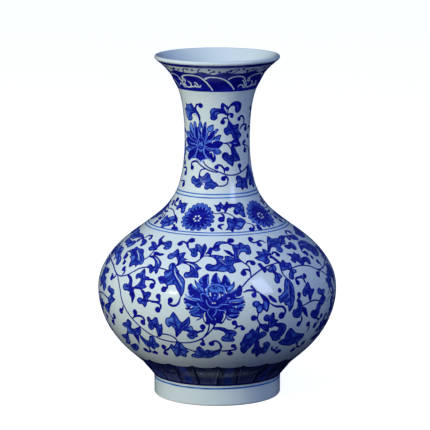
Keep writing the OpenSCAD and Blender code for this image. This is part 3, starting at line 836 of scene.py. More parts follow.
def belly_left_low(p):
    """The lower rows to the left, level with the foot of the flower and below it."""
    for edge, veins in (
        (((-34.9, 113.7), (-33.5, 113.7), (-32.5, 111.2), (-30.5, 114.4), (-29.1, 113.6), (-28.8, 110),
          (-28.4, 107), (-27.1, 108.6), (-26.9, 103), (-27.9, 97), (-30, 93.2), (-30.7, 98),
          (-31.1, 103.3), (-32.5, 101), (-34, 100), (-35.2, 103.5), (-34.7, 107.5), (-35.2, 110.5)),
         (((-29.8, 95), (-29.2, 101), (-29.8, 107), (-30.2, 112)),
          ((-29.4, 104), (-33, 106), (-33.6, 102.6)), ((-30.4, 106), (-34, 111)),
          ((-28.8, 98.6), (-27.8, 104)))),
        (((-20.5, 95), (-20.6, 100), (-20.8, 104), (-22.3, 107), (-23.4, 105.2), (-24.7, 107),
          (-25.2, 111), (-24.5, 114.8), (-22.8, 116), (-21.7, 119.4), (-20.7, 121.4), (-19.1, 118),
          (-17.9, 114), (-16.6, 112), (-15, 114.6), (-13.1, 117.8), (-12.6, 113), (-13.2, 109),
          (-15.2, 106), (-16.8, 102.6), (-18.4, 99)),
         (((-20, 97), (-19.4, 104), (-20, 111), (-20.6, 118)), ((-19.8, 108), (-23, 110.6)),
          ((-19, 102), (-16, 108.6), (-13.8, 114)), ((-17.6, 106), (-16.6, 110)))),
        (((-16.6, 103.6), (-14.5, 107), (-12, 108.6), (-11.2, 105), (-9.5, 103.8), (-8.4, 102),
          (-9.6, 100), (-9.2, 97.6), (-10.5, 96.2), (-12.4, 93.8), (-14.4, 96), (-14.8, 99),
          (-13.8, 101.6)),
         (((-14.6, 104.6), (-11.6, 101.4), (-11.6, 97)), ((-12, 102), (-10, 102.4)),
          ((-11.8, 99), (-13.4, 97.4)))),
        (((-47.7, 107.6), (-45.9, 105.5), (-46, 102), (-47, 99.2), (-45.5, 98.2), (-43.8, 99.2),
          (-42, 100.2), (-40.3, 102.8), (-40.2, 98), (-40.9, 95), (-42.2, 92), (-44, 90.3), (-46, 89.8),
          (-48, 90.8), (-50.5, 90.6), (-52.2, 92), (-51, 95), (-51.2, 97), (-53.4, 97.8), (-54, 100),
          (-52.1, 102.5), (-49.8, 103.8), (-49.1, 106)),
         (((-41, 100.4), (-44, 95.6), (-48, 94.6)), ((-46, 95), (-49, 99.6), (-51.8, 100.6)),
          ((-48, 98), (-47.6, 105)), ((-44.6, 95.4), (-45.4, 92)), ((-42.6, 97.6), (-42.4, 94)))),
        (((-51, 93), (-54.6, 88.4), (-58.4, 86.7), (-60.6, 84), (-58.8, 81), (-58.8, 78), (-61.4, 75),
          (-58, 73.8), (-55, 77), (-53.4, 80), (-52.8, 84), (-51.8, 88)),
         (((-52, 90.6), (-55, 84), (-57.4, 76.6)), ((-55, 84), (-58.4, 84.4)))),
        (((-57, 74), (-53, 76.7), (-49.4, 79.4), (-47.9, 76.5), (-48.8, 73), (-50.4, 70.8), (-52.5, 68.4),
          (-55.5, 66), (-58, 68), (-57.4, 71)),
         (((-50.2, 77.4), (-53, 72.6), (-55.4, 68.6)), ((-52.6, 73.2), (-56, 72.6)),
          ((-51.6, 74.8), (-50.2, 73)))),
        (((-42.2, 93.2), (-42.8, 88), (-42, 84), (-41.2, 80), (-39.5, 77.2), (-38.4, 78.7), (-37.3, 76.8),
          (-36, 75.6), (-34.9, 78.4), (-32.8, 80), (-31.4, 82), (-31.6, 84.7), (-32.8, 86.7), (-32.8, 90),
          (-33.6, 93.2), (-35.5, 93.4), (-36.6, 90), (-37.2, 87.4), (-38.8, 87.4), (-40, 89.2)),
         (((-41.4, 90.6), (-40, 84.6), (-36.4, 82.6), (-32.6, 83.6)),
          ((-36.6, 82.8), (-34.6, 87), (-34.6, 91.4)), ((-38.6, 83.6), (-39.6, 79.6)),
          ((-36, 82.4), (-36.2, 78)))),
        (((-20.8, 91), (-19, 90), (-17.4, 86), (-16.3, 82), (-15, 78), (-16.1, 76.7), (-16.9, 74.7),
          (-16.9, 71.3), (-18.5, 69.6), (-20.4, 71.5), (-22, 70.2), (-23.3, 68.8), (-24.2, 72),
          (-24.2, 76), (-24.8, 79), (-25.2, 83), (-24.1, 86.7), (-22.6, 85), (-21.6, 87.6)),
         (((-20, 89), (-19.8, 82), (-20.8, 76), (-22.6, 71.6)), ((-20, 83), (-23.6, 82)),
          ((-19.8, 81), (-17.4, 79)), ((-20.4, 77.4), (-18.6, 72.6)))),
        (((1.2, 82.8), (-1.2, 81.2), (-3.4, 81.2), (-5, 82.4), (-6.4, 80.8), (-7.6, 83.2), (-9, 86.4),
          (-10.8, 83.7), (-11, 80.2), (-13.4, 79.7), (-11.8, 77), (-13.8, 75), (-14.3, 71.3),
          (-11.5, 69.4), (-8, 70.2), (-5.5, 69.6), (-3, 70.7), (-1.2, 73.4), (1, 76), (1.6, 79)),
         (((0.6, 80), (-5, 76), (-12, 73)), ((-6, 76), (-9, 80), (-9.2, 84)), ((-4, 76.6), (-4.8, 80)),
          ((-5.4, 75.8), (-5, 72)), ((-2.6, 77.6), (-1.6, 74.6)), ((-8, 74.8), (-9, 71.8)))),
    ):
        p.drawn_leaf(edge, *veins)


def belly_left_accents(p):
    """Dark leaves seen edge on, and bare strokes within leaves."""
    for edge in (
        ((-45.2, 195), (-44.6, 198), (-43.6, 200), (-42.3, 197.5), (-42.8, 195), (-40.8, 192.5),
         (-39.7, 191), (-40.8, 184), (-43, 188), (-43.8, 190.5), (-45.2, 193)),
        ((-41.4, 178.6), (-38.6, 179.2), (-37, 178.2), (-34, 178.2), (-33.2, 176.5), (-35.5, 174.8),
         (-38, 174.8), (-40.6, 175)),
        ((-45.8, 139.5), (-43.4, 139), (-43.5, 136), (-42.2, 132), (-42.6, 129), (-44, 123.9),
         (-44.8, 129), (-46.2, 132), (-46.2, 135.5)),
        ((-46.9, 140.6), (-44, 139.4), (-40, 139.6), (-37, 141.2), (-39, 138.6), (-43, 138.2),
         (-46.6, 138.2)),
        ((-7.5, 180.4), (-6.1, 185), (-5.3, 188.7), (-3.8, 189.8), (-2.8, 187), (-3.2, 183.5),
         (-4, 179.6), (-5.8, 181.2)),
        ((-47.2, 90.4), (-46.5, 86), (-46.3, 82), (-46.8, 78), (-45, 82), (-44.2, 86), (-43.2, 90.4)),
        ((-58, 176.6), (-61, 174.4), (-58.4, 171.6), (-55.6, 170.6), (-55, 173.4)),
        ((-31, 152), (-29.6, 149.4), (-27.4, 148.6), (-26, 151), (-28, 153)),
    ):
        p.fill("line", edge)
    for line in (((-23.2, 161.6), (-21.4, 155.6), (-19, 150.6), (-17.4, 146.4)),
                 ((-56, 176), (-51.4, 171.4), (-48.4, 166.4)),
                 ((-38.2, 172.4), (-35.4, 169.6), (-34, 166)),
                 ((-17, 170), (-13.6, 167.6), (-12, 164.6))):
        p.stroke(*line, width=0.8, tone="bare")


def belly_left_leaves(p):
    """All leaves to the left of the large flower, from the top row to the bottom row."""
    belly_left_high(p)
    belly_left_middle(p)
    belly_left_low(p)
    belly_left_accents(p)


def sprig(p, turn, run, lean):
    """A three-lobed leaf and a tendril growing from one point, leaning clockwise from upright."""
    scale = degrees_per_mm(run)
    along = math.cos(math.radians(lean))
    across = math.sin(math.radians(lean))

    def at(*points):
        return [(turn + (x * along + y * across) * scale, run + y * along - x * across)
                for x, y in points]

    p.curl(*at((0, 1), (4.6, -2.6), (8.6, -1.4), (8.8, 2)), bulb=2.0, width=1.6)
    p.stroke(*at((0, 3), (-1.2, -2.4), (-4, -5)), width=1.2)
    p.drawn_leaf(at((0, 0), (2.6, 2.4), (6.6, 2.6), (9.2, 5.6), (6.4, 7.4), (7.6, 11), (4.2, 12),
                    (2.6, 16), (0, 19.5), (-1.8, 15.6), (-4.6, 14.4), (-3.8, 10.6), (-7.6, 9.8),
                    (-8.6, 6), (-5.4, 4.8), (-3.4, 1.4)),
                 at((0, 1), (0.6, 8), (0, 16)), at((0.2, 4.6), (5.4, 5.2)), at((0.3, 6), (-5, 7.6)),
                 at((0.5, 9), (4, 10)))


def belly_flank(p):
    """Leaves and a tendril on the side of the belly, between the right of one repeat and the next."""
    p.stroke((64, 118), (70, 123), (79, 124), (88, 120), (95, 112), (99, 101), (98, 88), (92, 78),
             (86, 74), width=1.2)
    for turn, run, lean in ((69, 129, 20), (79, 137, -30), (90, 127, 15), (101, 137, 50), (75, 116, 205),
                            (86, 112, 170), (101, 112, 80), (69, 98, 240), (100, 92, 110), (88, 84, -60),
                            (81, 160, 60), (97, 160, -20)):
        sprig(p, turn, run, lean)


def right_leaf(p, edge, veins):
    """A leaf of the right side, darker far round and in the lower rows."""
    turn, run = edge[0]
    p.drawn_leaf(edge, *veins, tone="shade" if turn > 40 or (turn > 12 and run < 115) else "wash")


def belly_right_high(p):
    """The rows above the large flower, to the right."""
    for edge, veins in (
        (((-2.4, 190.4), (-0.2, 190.6), (1.7, 189), (2, 186.6), (0.6, 184.8), (-1, 184.4), (-2.8, 186.4)),
         (((-1.6, 189), (0.4, 187.6)),)),
        (((10, 192), (11.5, 193), (13.5, 192.7), (15, 193.8), (16, 195.4), (17.6, 194.2), (19, 191.6),
          (21.1, 192), (22.2, 189), (22, 186), (21.7, 182), (20, 179.3), (18, 179.8), (17.3, 182.3),
          (15.5, 182.8), (14.2, 181), (13, 178), (13, 174.5), (14.9, 171.3), (12, 172.6), (9.8, 173.3),
          (9.8, 178), (10.3, 183), (10, 187)),
         (((12, 175), (12, 184), (11.6, 191)), ((12.2, 178), (13.6, 186), (16.2, 193)),
          ((14, 186.4), (18, 188.6), (20, 186), (19.6, 182)), ((15.4, 190), (14, 192)))),
        (((-3.8, 180.2), (-1.5, 180.6), (1, 180), (3.6, 178.6), (3.8, 176), (2.4, 174.3), (4.2, 174.8),
          (4.4, 178.5), (6, 179.4), (8, 178.2), (10, 176.2), (12.2, 173.7), (14, 171.4), (10, 170.2),
          (9, 168.3), (9.6, 165), (10, 162), (8.6, 159.7), (6.5, 159.7), (5.4, 161.5), (3, 161),
          (0, 161.7), (-3, 161.7), (-5.4, 162.7), (-6.6, 166), (-5.8, 169.3), (-4, 170.2), (-2.6, 169),
          (-1.3, 169.2), (-0.4, 171), (-1, 174.3), (-2.5, 176.8), (-5.5, 178.2)),
         (((-1.6, 178.6), (1, 172.6), (4, 168), (8, 162)), ((12, 172.8), (7, 173.6), (3, 169.6)),
          ((0, 175.6), (2, 178)), ((6, 174), (6.4, 177.6)), ((1.8, 171), (-2, 167), (-5, 166.4)),
          ((3, 169.4), (0.6, 165), (-1, 163.4)), ((5, 167), (8, 168)), ((6, 164.8), (5.6, 162)))),
        (((22, 175), (24, 176.8), (25.2, 178), (24.7, 182.3), (27, 182.6), (29, 181.6), (30, 185.2),
          (32.2, 183.2), (33.2, 180), (34.6, 178), (33.6, 176.3), (31.2, 175.3), (31, 173), (31, 169.5),
          (29, 166.7), (27.2, 167.3), (26.4, 170), (24.4, 171.3), (22.9, 173.4)),
         (((33, 177.4), (29.4, 177.8), (24, 174.8)), ((30.4, 178), (30.4, 182.6)),
          ((28, 177.4), (26.2, 180.4)), ((30, 177), (28.6, 170)))),
        (((32.8, 181.6), (34.6, 187), (35.8, 190), (36.6, 193), (38.6, 196.7), (41, 199.9), (42.6, 196.6),
          (44, 195.6), (47.8, 195.2), (48.2, 192), (47.2, 188), (46.2, 185.2), (44.7, 184.3), (44.8, 181),
          (43.2, 177.7), (41, 177.5), (39.5, 180.3), (40.1, 183.8), (38, 185.2), (36, 183.6),
          (34.2, 180)),
         (((34.4, 183), (37.6, 189), (40.6, 197)), ((37.4, 188.6), (42.6, 189), (46, 191)),
          ((40, 188.6), (42.4, 184.6), (42.2, 180)), ((39, 192), (43.4, 193)))),
        (((46.6, 193), (49.5, 195.7), (53, 197.3), (57, 196.5), (60.4, 194.5), (57, 193.8), (54.2, 192.3),
          (52.8, 189.6), (50.8, 186.2), (46.8, 186.2), (46, 189)),
         (((47.4, 188), (50.6, 192.6), (56, 195)), ((49.4, 191), (48.6, 193.6)))),
        (((47.8, 184.7), (51, 185.4), (52.5, 184.8), (54.5, 187.3), (57.2, 186.6), (58.2, 183),
          (57.2, 178.8), (55.5, 176.6), (53.2, 177.7), (52.4, 180), (50, 179.2), (48.4, 181)),
         (((49, 184), (53.4, 183), (55.6, 179)), ((53.4, 183), (55.4, 185.6)),
          ((52.4, 183), (50.4, 181)))),
        (((60.4, 194.4), (64, 194.8), (69.7, 193.2), (69.8, 188), (67, 185.3), (64.4, 186.8),
          (61.8, 188.3), (60.8, 191)),
         (((61.6, 193), (66, 191), (68, 188)), ((65, 191.4), (64.4, 188.4)))),
        (((73.2, 193), (77, 195.2), (82, 198), (88, 199), (94, 197), (94, 190), (88, 186), (82, 184),
          (77, 186), (74.6, 190)),
         (((74.6, 192.6), (82, 192), (91, 193)), ((80, 192.2), (84, 195.4)), ((80, 191.8), (84, 187.4)))),
        (((59.8, 176), (61.3, 180.2), (64, 184), (70, 184.7), (75.2, 181.7), (77.7, 176.2), (80.4, 172),
          (80.2, 168), (78, 164.7), (75, 162.7), (70.8, 162.7), (68.8, 166), (68.4, 170), (66.3, 172),
          (65.3, 175), (63.5, 175.7), (61.5, 175)),
         (((62, 178), (68, 178.6), (73.4, 173), (76, 166)), ((66.6, 179), (70, 182.6)),
          ((71, 176.4), (76, 176)), ((68.4, 178.2), (68, 173.8)), ((73.8, 172), (71, 166.6)),
          ((74.6, 169.6), (78.4, 168.6)))),
    ):
        right_leaf(p, edge, veins)


def belly_right_middle(p):
    """The leaves to the right of the flower, level with it."""
    for edge, veins in (
        (((44.9, 175.2), (48, 174.7), (50, 173.2), (51.5, 176), (53.1, 172.7), (54.8, 172.2), (54.7, 169),
          (54.2, 167.2), (57, 167.8), (60.2, 166.7), (60.9, 163.5), (59.4, 158.6), (57.3, 158.7),
          (56.6, 161.7), (54.5, 161.7), (52, 158.8), (50.3, 162.3), (49, 165), (47.4, 163.1),
          (45.8, 165.3), (45.3, 168), (46.8, 170), (46.2, 172.3)),
         (((52.4, 160.4), (51.4, 166.4), (48, 171.4), (46, 173.8)), ((51, 167.4), (53, 170)),
          ((50.4, 168.4), (47.2, 167)), ((52, 163.6), (57, 164.6), (58.4, 161.6)))),
        (((35.8, 164.8), (37.8, 167.7), (39.9, 169.5), (41.1, 165.8), (43.8, 165.3), (43.6, 161),
          (42.8, 158.5), (45.3, 156.9), (44.8, 154.3), (42.6, 152.8), (41.6, 148.7), (40, 147.8),
          (38.6, 150), (39.2, 154), (40.8, 157), (39, 158.3), (36.4, 157.6), (35.4, 161)),
         (((36.6, 163), (40.4, 160.6), (42, 155.6), (40.6, 150)), ((38.8, 161.8), (39.4, 166.6)),
          ((40.2, 160.8), (42.6, 163)))),
        (((27.8, 162), (30, 164.7), (32.6, 165.3), (33.2, 161), (32, 158), (33.7, 156), (34.9, 152.5),
          (33.2, 150.3), (32.1, 146.7), (30.2, 146.3), (29.4, 150), (30.4, 154), (29.8, 157.2),
          (28, 157.8), (27.2, 160)),
         (((30.8, 163.4), (31, 158), (32.4, 153), (31.2, 148.4)), ((31, 159), (29, 160.2)))),
        (((36.8, 150.8), (38.9, 147), (39.8, 141), (39.6, 135), (39.3, 129), (38.7, 127), (38.2, 122.6),
          (36.2, 118.2), (35.3, 120), (35, 124), (33.4, 125.2), (32.6, 128.4), (31, 127.4), (30.1, 130),
          (30, 134.2), (31.2, 135), (32.3, 136.7), (33.6, 139), (34.2, 144), (35.2, 148)),
         (((37, 149), (37.6, 140), (37, 131), (36.6, 121)), ((37.4, 137), (34.4, 133), (31.6, 131)),
          ((37.2, 132), (34.4, 128)), ((37.6, 143), (35.4, 140.6)), ((37.2, 135), (38.8, 131.4)))),
        (((50.1, 143), (48, 141.2), (45.9, 138), (44.4, 135), (44.8, 131), (46.6, 129.7), (48, 131.6),
          (48.4, 127), (50, 124.6), (51.2, 129), (53.2, 133), (53.5, 135.2), (51.2, 136.2), (50.8, 139)),
         (((49.8, 126), (49.4, 133), (50, 140)), ((49.4, 134), (46.4, 134)), ((49.6, 132), (52, 133.6)))),
        (((41.3, 129.2), (43.6, 126), (44.2, 121), (44.2, 116), (42.8, 110.7), (39.5, 111.2), (37.8, 115),
          (38.2, 119.3), (40.3, 120.4), (40.8, 124)),
         (((42.2, 127), (42.4, 120), (41.4, 113)), ((42.2, 118), (39.4, 116.6)))),
        (((55.8, 133), (58, 134.8), (59.5, 132.3), (62.2, 132.2), (62.8, 129), (61.7, 126.6),
          (63.8, 122.5), (62.2, 119.3), (59.8, 116.6), (58.4, 118.2), (56.3, 120.4), (57.3, 124),
          (59.2, 126.5), (57.8, 127.8), (56.2, 129.3)),
         (((59, 119), (60.2, 125), (59, 131)), ((60.2, 124), (62, 122.4)))),
        (((55.6, 120.6), (58.9, 117), (58.2, 113), (58, 109), (55.8, 104.6), (54, 105.6), (51.3, 108.4),
          (50.3, 112), (51.4, 115), (54, 115)),
         (((57, 118), (55.6, 112), (54.6, 107)), ((55.8, 112.6), (52.6, 112)))),
    ):
        right_leaf(p, edge, veins)


def belly_right_low(p):
    """The lower rows, level with the foot of the flower and below it."""
    for edge, veins in (
        (((19.6, 107.4), (18.4, 103), (17, 105.4), (15.4, 103), (15.2, 101.2), (13.6, 99.8), (12.7, 96),
          (12.3, 92.5), (11.3, 89), (11.9, 86), (11.9, 82), (12.8, 78), (14.7, 75.4), (16, 80),
          (17.2, 83), (18.6, 87), (19.6, 90), (21, 92), (22.6, 93.8), (24.3, 96), (24.7, 99),
          (22.7, 101.9), (20.8, 100.6)),
         (((19, 99), (16, 92), (14.2, 84), (14.4, 78)), ((18, 97), (17, 102.6)), ((18.4, 96), (22.4, 98)),
          ((16, 92), (13.4, 92.6)), ((15.2, 88), (17, 87)))),
        (((20, 93.4), (19.2, 88), (18.8, 83), (18.3, 79), (19, 74.7), (20.6, 74.6), (22.6, 69),
          (24.2, 73.7), (26.8, 72.7), (27.9, 77), (28.3, 82), (28.1, 86.2), (26, 89.2), (23.8, 87.2),
          (24.6, 84), (23.4, 82), (22, 86), (21.4, 90.4)),
         (((20.6, 91), (20.8, 84), (22, 78), (22.6, 72)), ((21.6, 80), (25.4, 81), (26.4, 85.6)),
          ((21.4, 81), (19.8, 78)), ((22.4, 76), (25.4, 77)))),
        (((-1.8, 107.8), (1, 108.2), (3.5, 107.3), (5, 105.6), (7.6, 104.8), (9.4, 102), (9, 99),
          (7.8, 97), (8.6, 94.6), (8.2, 91.9), (5.6, 91.7), (2.9, 92.3), (1.8, 95), (2.4, 98), (3.8, 100),
          (3, 102.8), (0.6, 104.8), (-1.6, 105.2)),
         (((0, 106.6), (4.6, 103.6), (6, 99), (5.6, 94)), ((5.8, 100), (7.8, 101.4)),
          ((5.8, 97), (3.6, 95.6)), ((5.7, 95), (7.2, 94)))),
        (((20.4, 109.6), (21.4, 109.8), (22.2, 109), (23.4, 109.4), (24.4, 107.8), (25.3, 105),
          (25.6, 102), (25.2, 99.7), (23.4, 101.6), (21.8, 104), (20.6, 106)),
         (((20.8, 108.4), (23.4, 105.6), (24.8, 101.6)),)),
        (((25.2, 104.6), (24.4, 108), (24.6, 111), (23, 111.6), (22, 114), (22.4, 117), (23.8, 118.6),
          (25.4, 117.2), (26.4, 119.4), (27.5, 119.4), (27.9, 115.6), (28.2, 113), (30, 112),
          (29.4, 109.4), (28.4, 107.4), (27.6, 104.6)),
         (((26.6, 106), (26.2, 112), (26.8, 117)), ((26.2, 112), (23.6, 114.6)),
          ((26.4, 110), (28.4, 110.6)))),
        (((27.2, 106.6), (29.6, 108.8), (33, 107.9), (35.2, 104.4), (35.3, 99), (34.6, 95), (33.4, 93),
          (33.2, 89.8), (31, 88.4), (28.8, 89.8), (27.6, 93), (26.3, 97), (26.4, 100.3), (28, 101.4),
          (29.6, 100.6), (30.8, 103), (29.4, 104.8)),
         (((29, 107), (32.6, 104), (32.8, 98), (31, 91.6)), ((32.4, 97.6), (29, 98)),
          ((32, 95), (29.4, 93.6)))),
        (((38, 101.4), (40.1, 99), (41.7, 96), (43.5, 94.2), (46, 92.9), (49.2, 91.3), (50.4, 89),
          (49.7, 85), (47.8, 81.7), (44.6, 80.2), (41.4, 79.2), (38.5, 80.6), (35.2, 82.7), (32.7, 86),
          (33.8, 88.8), (35.8, 90.2), (35.8, 93.5), (36.3, 97.5)),
         (((49, 88), (42, 88.4), (36, 86.6)), ((41, 88.6), (38.8, 93), (38.4, 98.6)),
          ((44, 88.4), (42.6, 83)), ((40, 88), (38.4, 83)), ((45.6, 88.4), (45.6, 91.4)))),
        (((72, 144), (74, 147), (77, 147.4), (78.2, 150), (77, 152.6), (80, 152), (83, 148), (82.6, 142),
          (80.6, 138), (80.4, 133), (78, 131), (77, 136), (75, 140), (72.4, 140.6)),
         (((77.6, 151), (79.4, 146), (79, 139), (78.4, 133)), ((79, 144), (75, 143)))),
        (((46, 148.6), (49, 148.4), (48, 150), (46.4, 150.6)), ()),
        (((79, 118), (84, 117), (88, 112), (92, 106), (90, 101), (86, 104), (84, 109), (80, 112)),
         (((80.4, 116), (85, 111), (90, 104)),)),
        (((64, 93), (68, 97), (73, 98), (78, 95.6), (80, 91), (75, 89.6), (71, 91.6), (67, 90)),
         (((65.4, 92.6), (72, 94.4), (78, 92)),)),
        (((60, 81), (64, 85), (69, 85), (74, 82), (79, 76), (74, 74.6), (69, 77.6), (64, 77.4)),
         (((61.6, 81), (69, 81), (76, 76.6)),)),
    ):
        right_leaf(p, edge, veins)


def belly_right_accents(p):
    """Dark leaves seen edge on, small pale ones, and pale strokes within leaves."""
    for edge in (
        ((-4.4, 186.6), (-2.7, 191), (-1.6, 195), (0.5, 197.3), (4, 197.4), (7, 196.4), (10.2, 193.8),
         (7, 193.9), (3, 193.4), (1.6, 191), (1.2, 188.6), (-1, 188), (-2.6, 187)),
        ((3.8, 186.2), (6, 186), (8.1, 184.6), (9.3, 182), (10.2, 179.5), (9.2, 177.5), (7.4, 179.8),
         (5.8, 182), (5, 184)),
        ((33.4, 176.4), (35.2, 173), (36.8, 169), (37.2, 165.8), (35.5, 165.8), (34.4, 169), (33.2, 172),
         (31.4, 173.6)),
        ((22.8, 168.2), (24.7, 168.8), (25.8, 165), (27.6, 162), (25.4, 157.6), (24.4, 161), (23.2, 165)),
        ((20.6, 139), (22, 137.6), (24.4, 133.6), (25.3, 130), (25, 126), (24.4, 122), (23.6, 120.4),
         (22, 123), (21, 120.6), (19.2, 119.8), (18.4, 123), (18.2, 125.4), (16.8, 127), (16.5, 130),
         (17.8, 132), (19.8, 131.4), (20.6, 129.2), (21.8, 129.4), (21.6, 133), (20.6, 136.4)),
        ((24.6, 136), (25.8, 136.2), (27, 134.4), (28.4, 132), (29.2, 128.6), (27.4, 129.2), (26, 131),
         (25, 133.6)),
        ((44.4, 120.7), (46.6, 119), (47.6, 115), (48.7, 109), (46.3, 111.8), (44.4, 116)),
    ):
        p.fill("line", edge)
    for edge in (
        ((22.6, 131.4), (23.8, 129), (24, 126), (23.5, 122.8), (22.6, 125), (22.2, 128.6)),
        ((17.5, 130), (18.6, 130.8), (19.6, 128.6), (18.6, 126.4), (17.6, 128)),
        ((19, 125.6), (20.6, 127.4), (21.2, 124.6), (20.4, 121.6), (19.3, 122.4)),
        ((-0.6, 193), (0.8, 195.8), (3.6, 196.2), (6.6, 195), (3.4, 194.7), (0.6, 193)),
    ):
        p.fill("wash", edge)
    for line in (((1.6, 176.4), (2.4, 172.4), (5, 168.6)), ((12.6, 178.6), (13.8, 184.6), (16, 187)),
                 ((37.2, 147), (36.2, 139), (36, 131)), ((36.6, 188.6), (38.6, 192.6)),
                 ((47.4, 190), (50, 193.4)), ((62.6, 180), (67, 180), (71, 177))):
        p.stroke(*line, width=0.7, tone="pale")


def belly_right_leaves(p):
    """All leaves above and to the right of the large flower."""
    belly_right_high(p)
    belly_right_middle(p)
    belly_right_low(p)
    belly_right_accents(p)


def belly_curls(p):
    """The tendrils with round ends that fill the gaps between leaves."""
    for points, bulb in (
        (((-18.3, 186), (-20.4, 191), (-20.8, 195.6), (-18.6, 197.5)), 2.9),
        (((-20, 190.5), (-22.6, 194.2), (-26, 195), (-26.2, 192.2)), 2.5),
        (((4, 195.6), (7.4, 195), (8, 197.4), (9.9, 198)), 2.9),
        (((7.6, 194.6), (9.2, 193), (11, 192)), 0.8),
        (((35, 191.5), (33.4, 194.6), (31.2, 195), (28, 193.4), (25, 194.4), (24, 197), (25.2, 198.6)),
         2.4), (((30, 194), (29.6, 190.4)), 2.4),
        (((34.4, 176.6), (36, 179), (38.4, 178.4), (38.4, 175.8)), 2.3),
        (((16, 168.4), (17.4, 171.4), (19.6, 171.6), (20.2, 169.6)), 2.5),
        (((17.6, 160), (16.4, 162.6), (14, 162.4), (13.8, 159.2)), 2.6),
        (((13, 141), (15.4, 142.2), (18.4, 140.8), (17.6, 137.4)), 2.3),
        (((19, 140.5), (17.8, 143.4), (16.9, 145.4)), 1.3),
        (((25.2, 129), (28, 125.4), (32, 124), (33.6, 120), (33, 116.4), (31.6, 115.6)), 3.1),
        (((31, 142), (31.2, 139.4)), 2.0), (((19.3, 116.4), (17.2, 115.8)), 2.6),
        (((7.8, 105.5), (9.4, 108.4), (8, 112)), 2.3),
        (((9.4, 107.6), (11.6, 108.4), (12.2, 105.8)), 1.9),
        (((-8.8, 94.4), (-7, 93.4), (-7.3, 89)), 2.3),
        (((1.4, 80.5), (2, 86), (0.6, 91.4), (-1.6, 92.6), (-2.8, 89.6)), 2.5),
        (((1.4, 80.5), (5, 80.4), (9.2, 82), (9.2, 85), (8.2, 86.6)), 2.2),
        (((6.2, 80.6), (6.8, 76.6)), 2.6),
        (((-17.4, 136), (-18.4, 129.5), (-20.6, 127), (-23, 128.6), (-22.4, 132)), 2.4),
        (((-25.2, 146), (-24.9, 143), (-26.4, 141.6)), 2.6),
        (((-37, 148.4), (-34, 149.4), (-32, 146.4), (-33.2, 143.4)), 2.7),
        (((-34.4, 129.8), (-31.2, 128.9), (-28, 130), (-28.8, 134.4)), 2.4),
        (((-30.4, 129), (-27.6, 127.2), (-27.3, 124), (-28.8, 121.9)), 2.6),
        (((-44.8, 109), (-41.8, 112.4), (-38.4, 113), (-36.8, 110), (-38, 107)), 2.6),
        (((-43, 111.4), (-42.2, 116)), 2.6), (((-50.4, 120), (-50.9, 116), (-52.4, 114)), 2.6),
        (((-9.4, 102.6), (-6.8, 104.2), (-6.8, 108)), 2.5),
        (((-24.6, 83.4), (-27, 79), (-29.2, 76.6), (-29.6, 72.6)), 2.4),
        (((-28.4, 78), (-30, 80), (-29, 82)), 2.4),
        (((-39.6, 79), (-39.9, 73.4), (-42.4, 70), (-43.4, 72.4)), 2.8),
        (((-39.8, 73.4), (-38.4, 70.6), (-36.6, 71.6)), 2.4),
        (((-55.4, 148), (-54.7, 152), (-56.6, 154.4)), 2.4),
        (((-60.4, 148), (-61.4, 143.6), (-63.8, 142.6)), 2.7), (((-64.2, 143), (-65, 145.6)), 1.1),
        (((-78, 142.6), (-77, 145), (-75, 146.6), (-76.6, 146.2)), 2.0),
        (((-79.6, 147), (-79.6, 143.4), (-77, 142.4)), 2.4), (((-74, 147.6), (-71.4, 146.4)), 2.3),
        (((-60.4, 173.4), (-63.4, 172), (-63.6, 168.6), (-62, 166.4)), 3.0),
        (((-61, 163), (-59.4, 160.2)), 2.2), (((-59.4, 190), (-63, 189.8), (-64.4, 187)), 2.3),
        (((-60.6, 191.4), (-58.4, 195.4), (-54.6, 196), (-54, 192.8)), 1.8),
        (((-66, 107), (-62.5, 102.6), (-60, 104.4), (-59.8, 106)), 2.6),
        (((-61.8, 103), (-62, 99.6), (-63.6, 98)), 2.8), (((-72, 106), (-70.4, 101.6)), 2.8),
        (((-72, 116), (-73.6, 112.4)), 2.0), (((29.8, 83), (30.4, 78.4), (33, 75), (35.6, 73.4)), 2.9),
        (((32, 76.4), (33.4, 79.4)), 1.2), (((46, 83), (48, 79), (49.2, 74.6), (47.6, 71)), 2.8),
        (((49, 76), (51.6, 73.4), (54.4, 75.4), (53.6, 78.4)), 2.4),
        (((63.6, 151.2), (62.6, 148.6), (60.8, 147)), 2.8),
        (((48.2, 141.6), (47.8, 146), (49.4, 149.2)), 2.3),
        (((48, 146.6), (45.2, 149), (42.4, 147.6), (43, 144.2)), 2.3),
        (((43.6, 124), (40.8, 127.4), (42.6, 131), (42.2, 133)), 2.2),
        (((61, 194.4), (62.4, 198.6), (66, 200), (68.4, 197.4)), 2.2),
        (((60.4, 194.4), (58, 192.6), (58.8, 190.8)), 2.0), (((60, 176), (59.8, 172), (62, 170.2)), 2.9),
        (((64, 167), (64.8, 164.4)), 2.1), (((68.8, 152), (69, 155.6), (67.8, 158.2)), 2.4),
        (((55.6, 108), (57.4, 104.4), (60, 103), (61, 106)), 2.3),
        (((59.4, 103), (58.4, 99.4), (57, 97.4)), 2.8), (((51.6, 92), (51.8, 98), (50.2, 101.4)), 2.5),
        (((43.8, 112), (44.6, 107), (43, 104)), 2.6), (((74.6, 126), (73.6, 121.4), (71.8, 118.8)), 2.5),
        (((69, 97), (68, 89)), 2.6), (((88, 158), (90, 164), (94, 163)), 2.4),
        (((86, 88), (90, 84), (88, 79)), 2.6), (((82, 160), (80, 157)), 2.4),
    ):
        p.curl(*points, bulb=bulb)


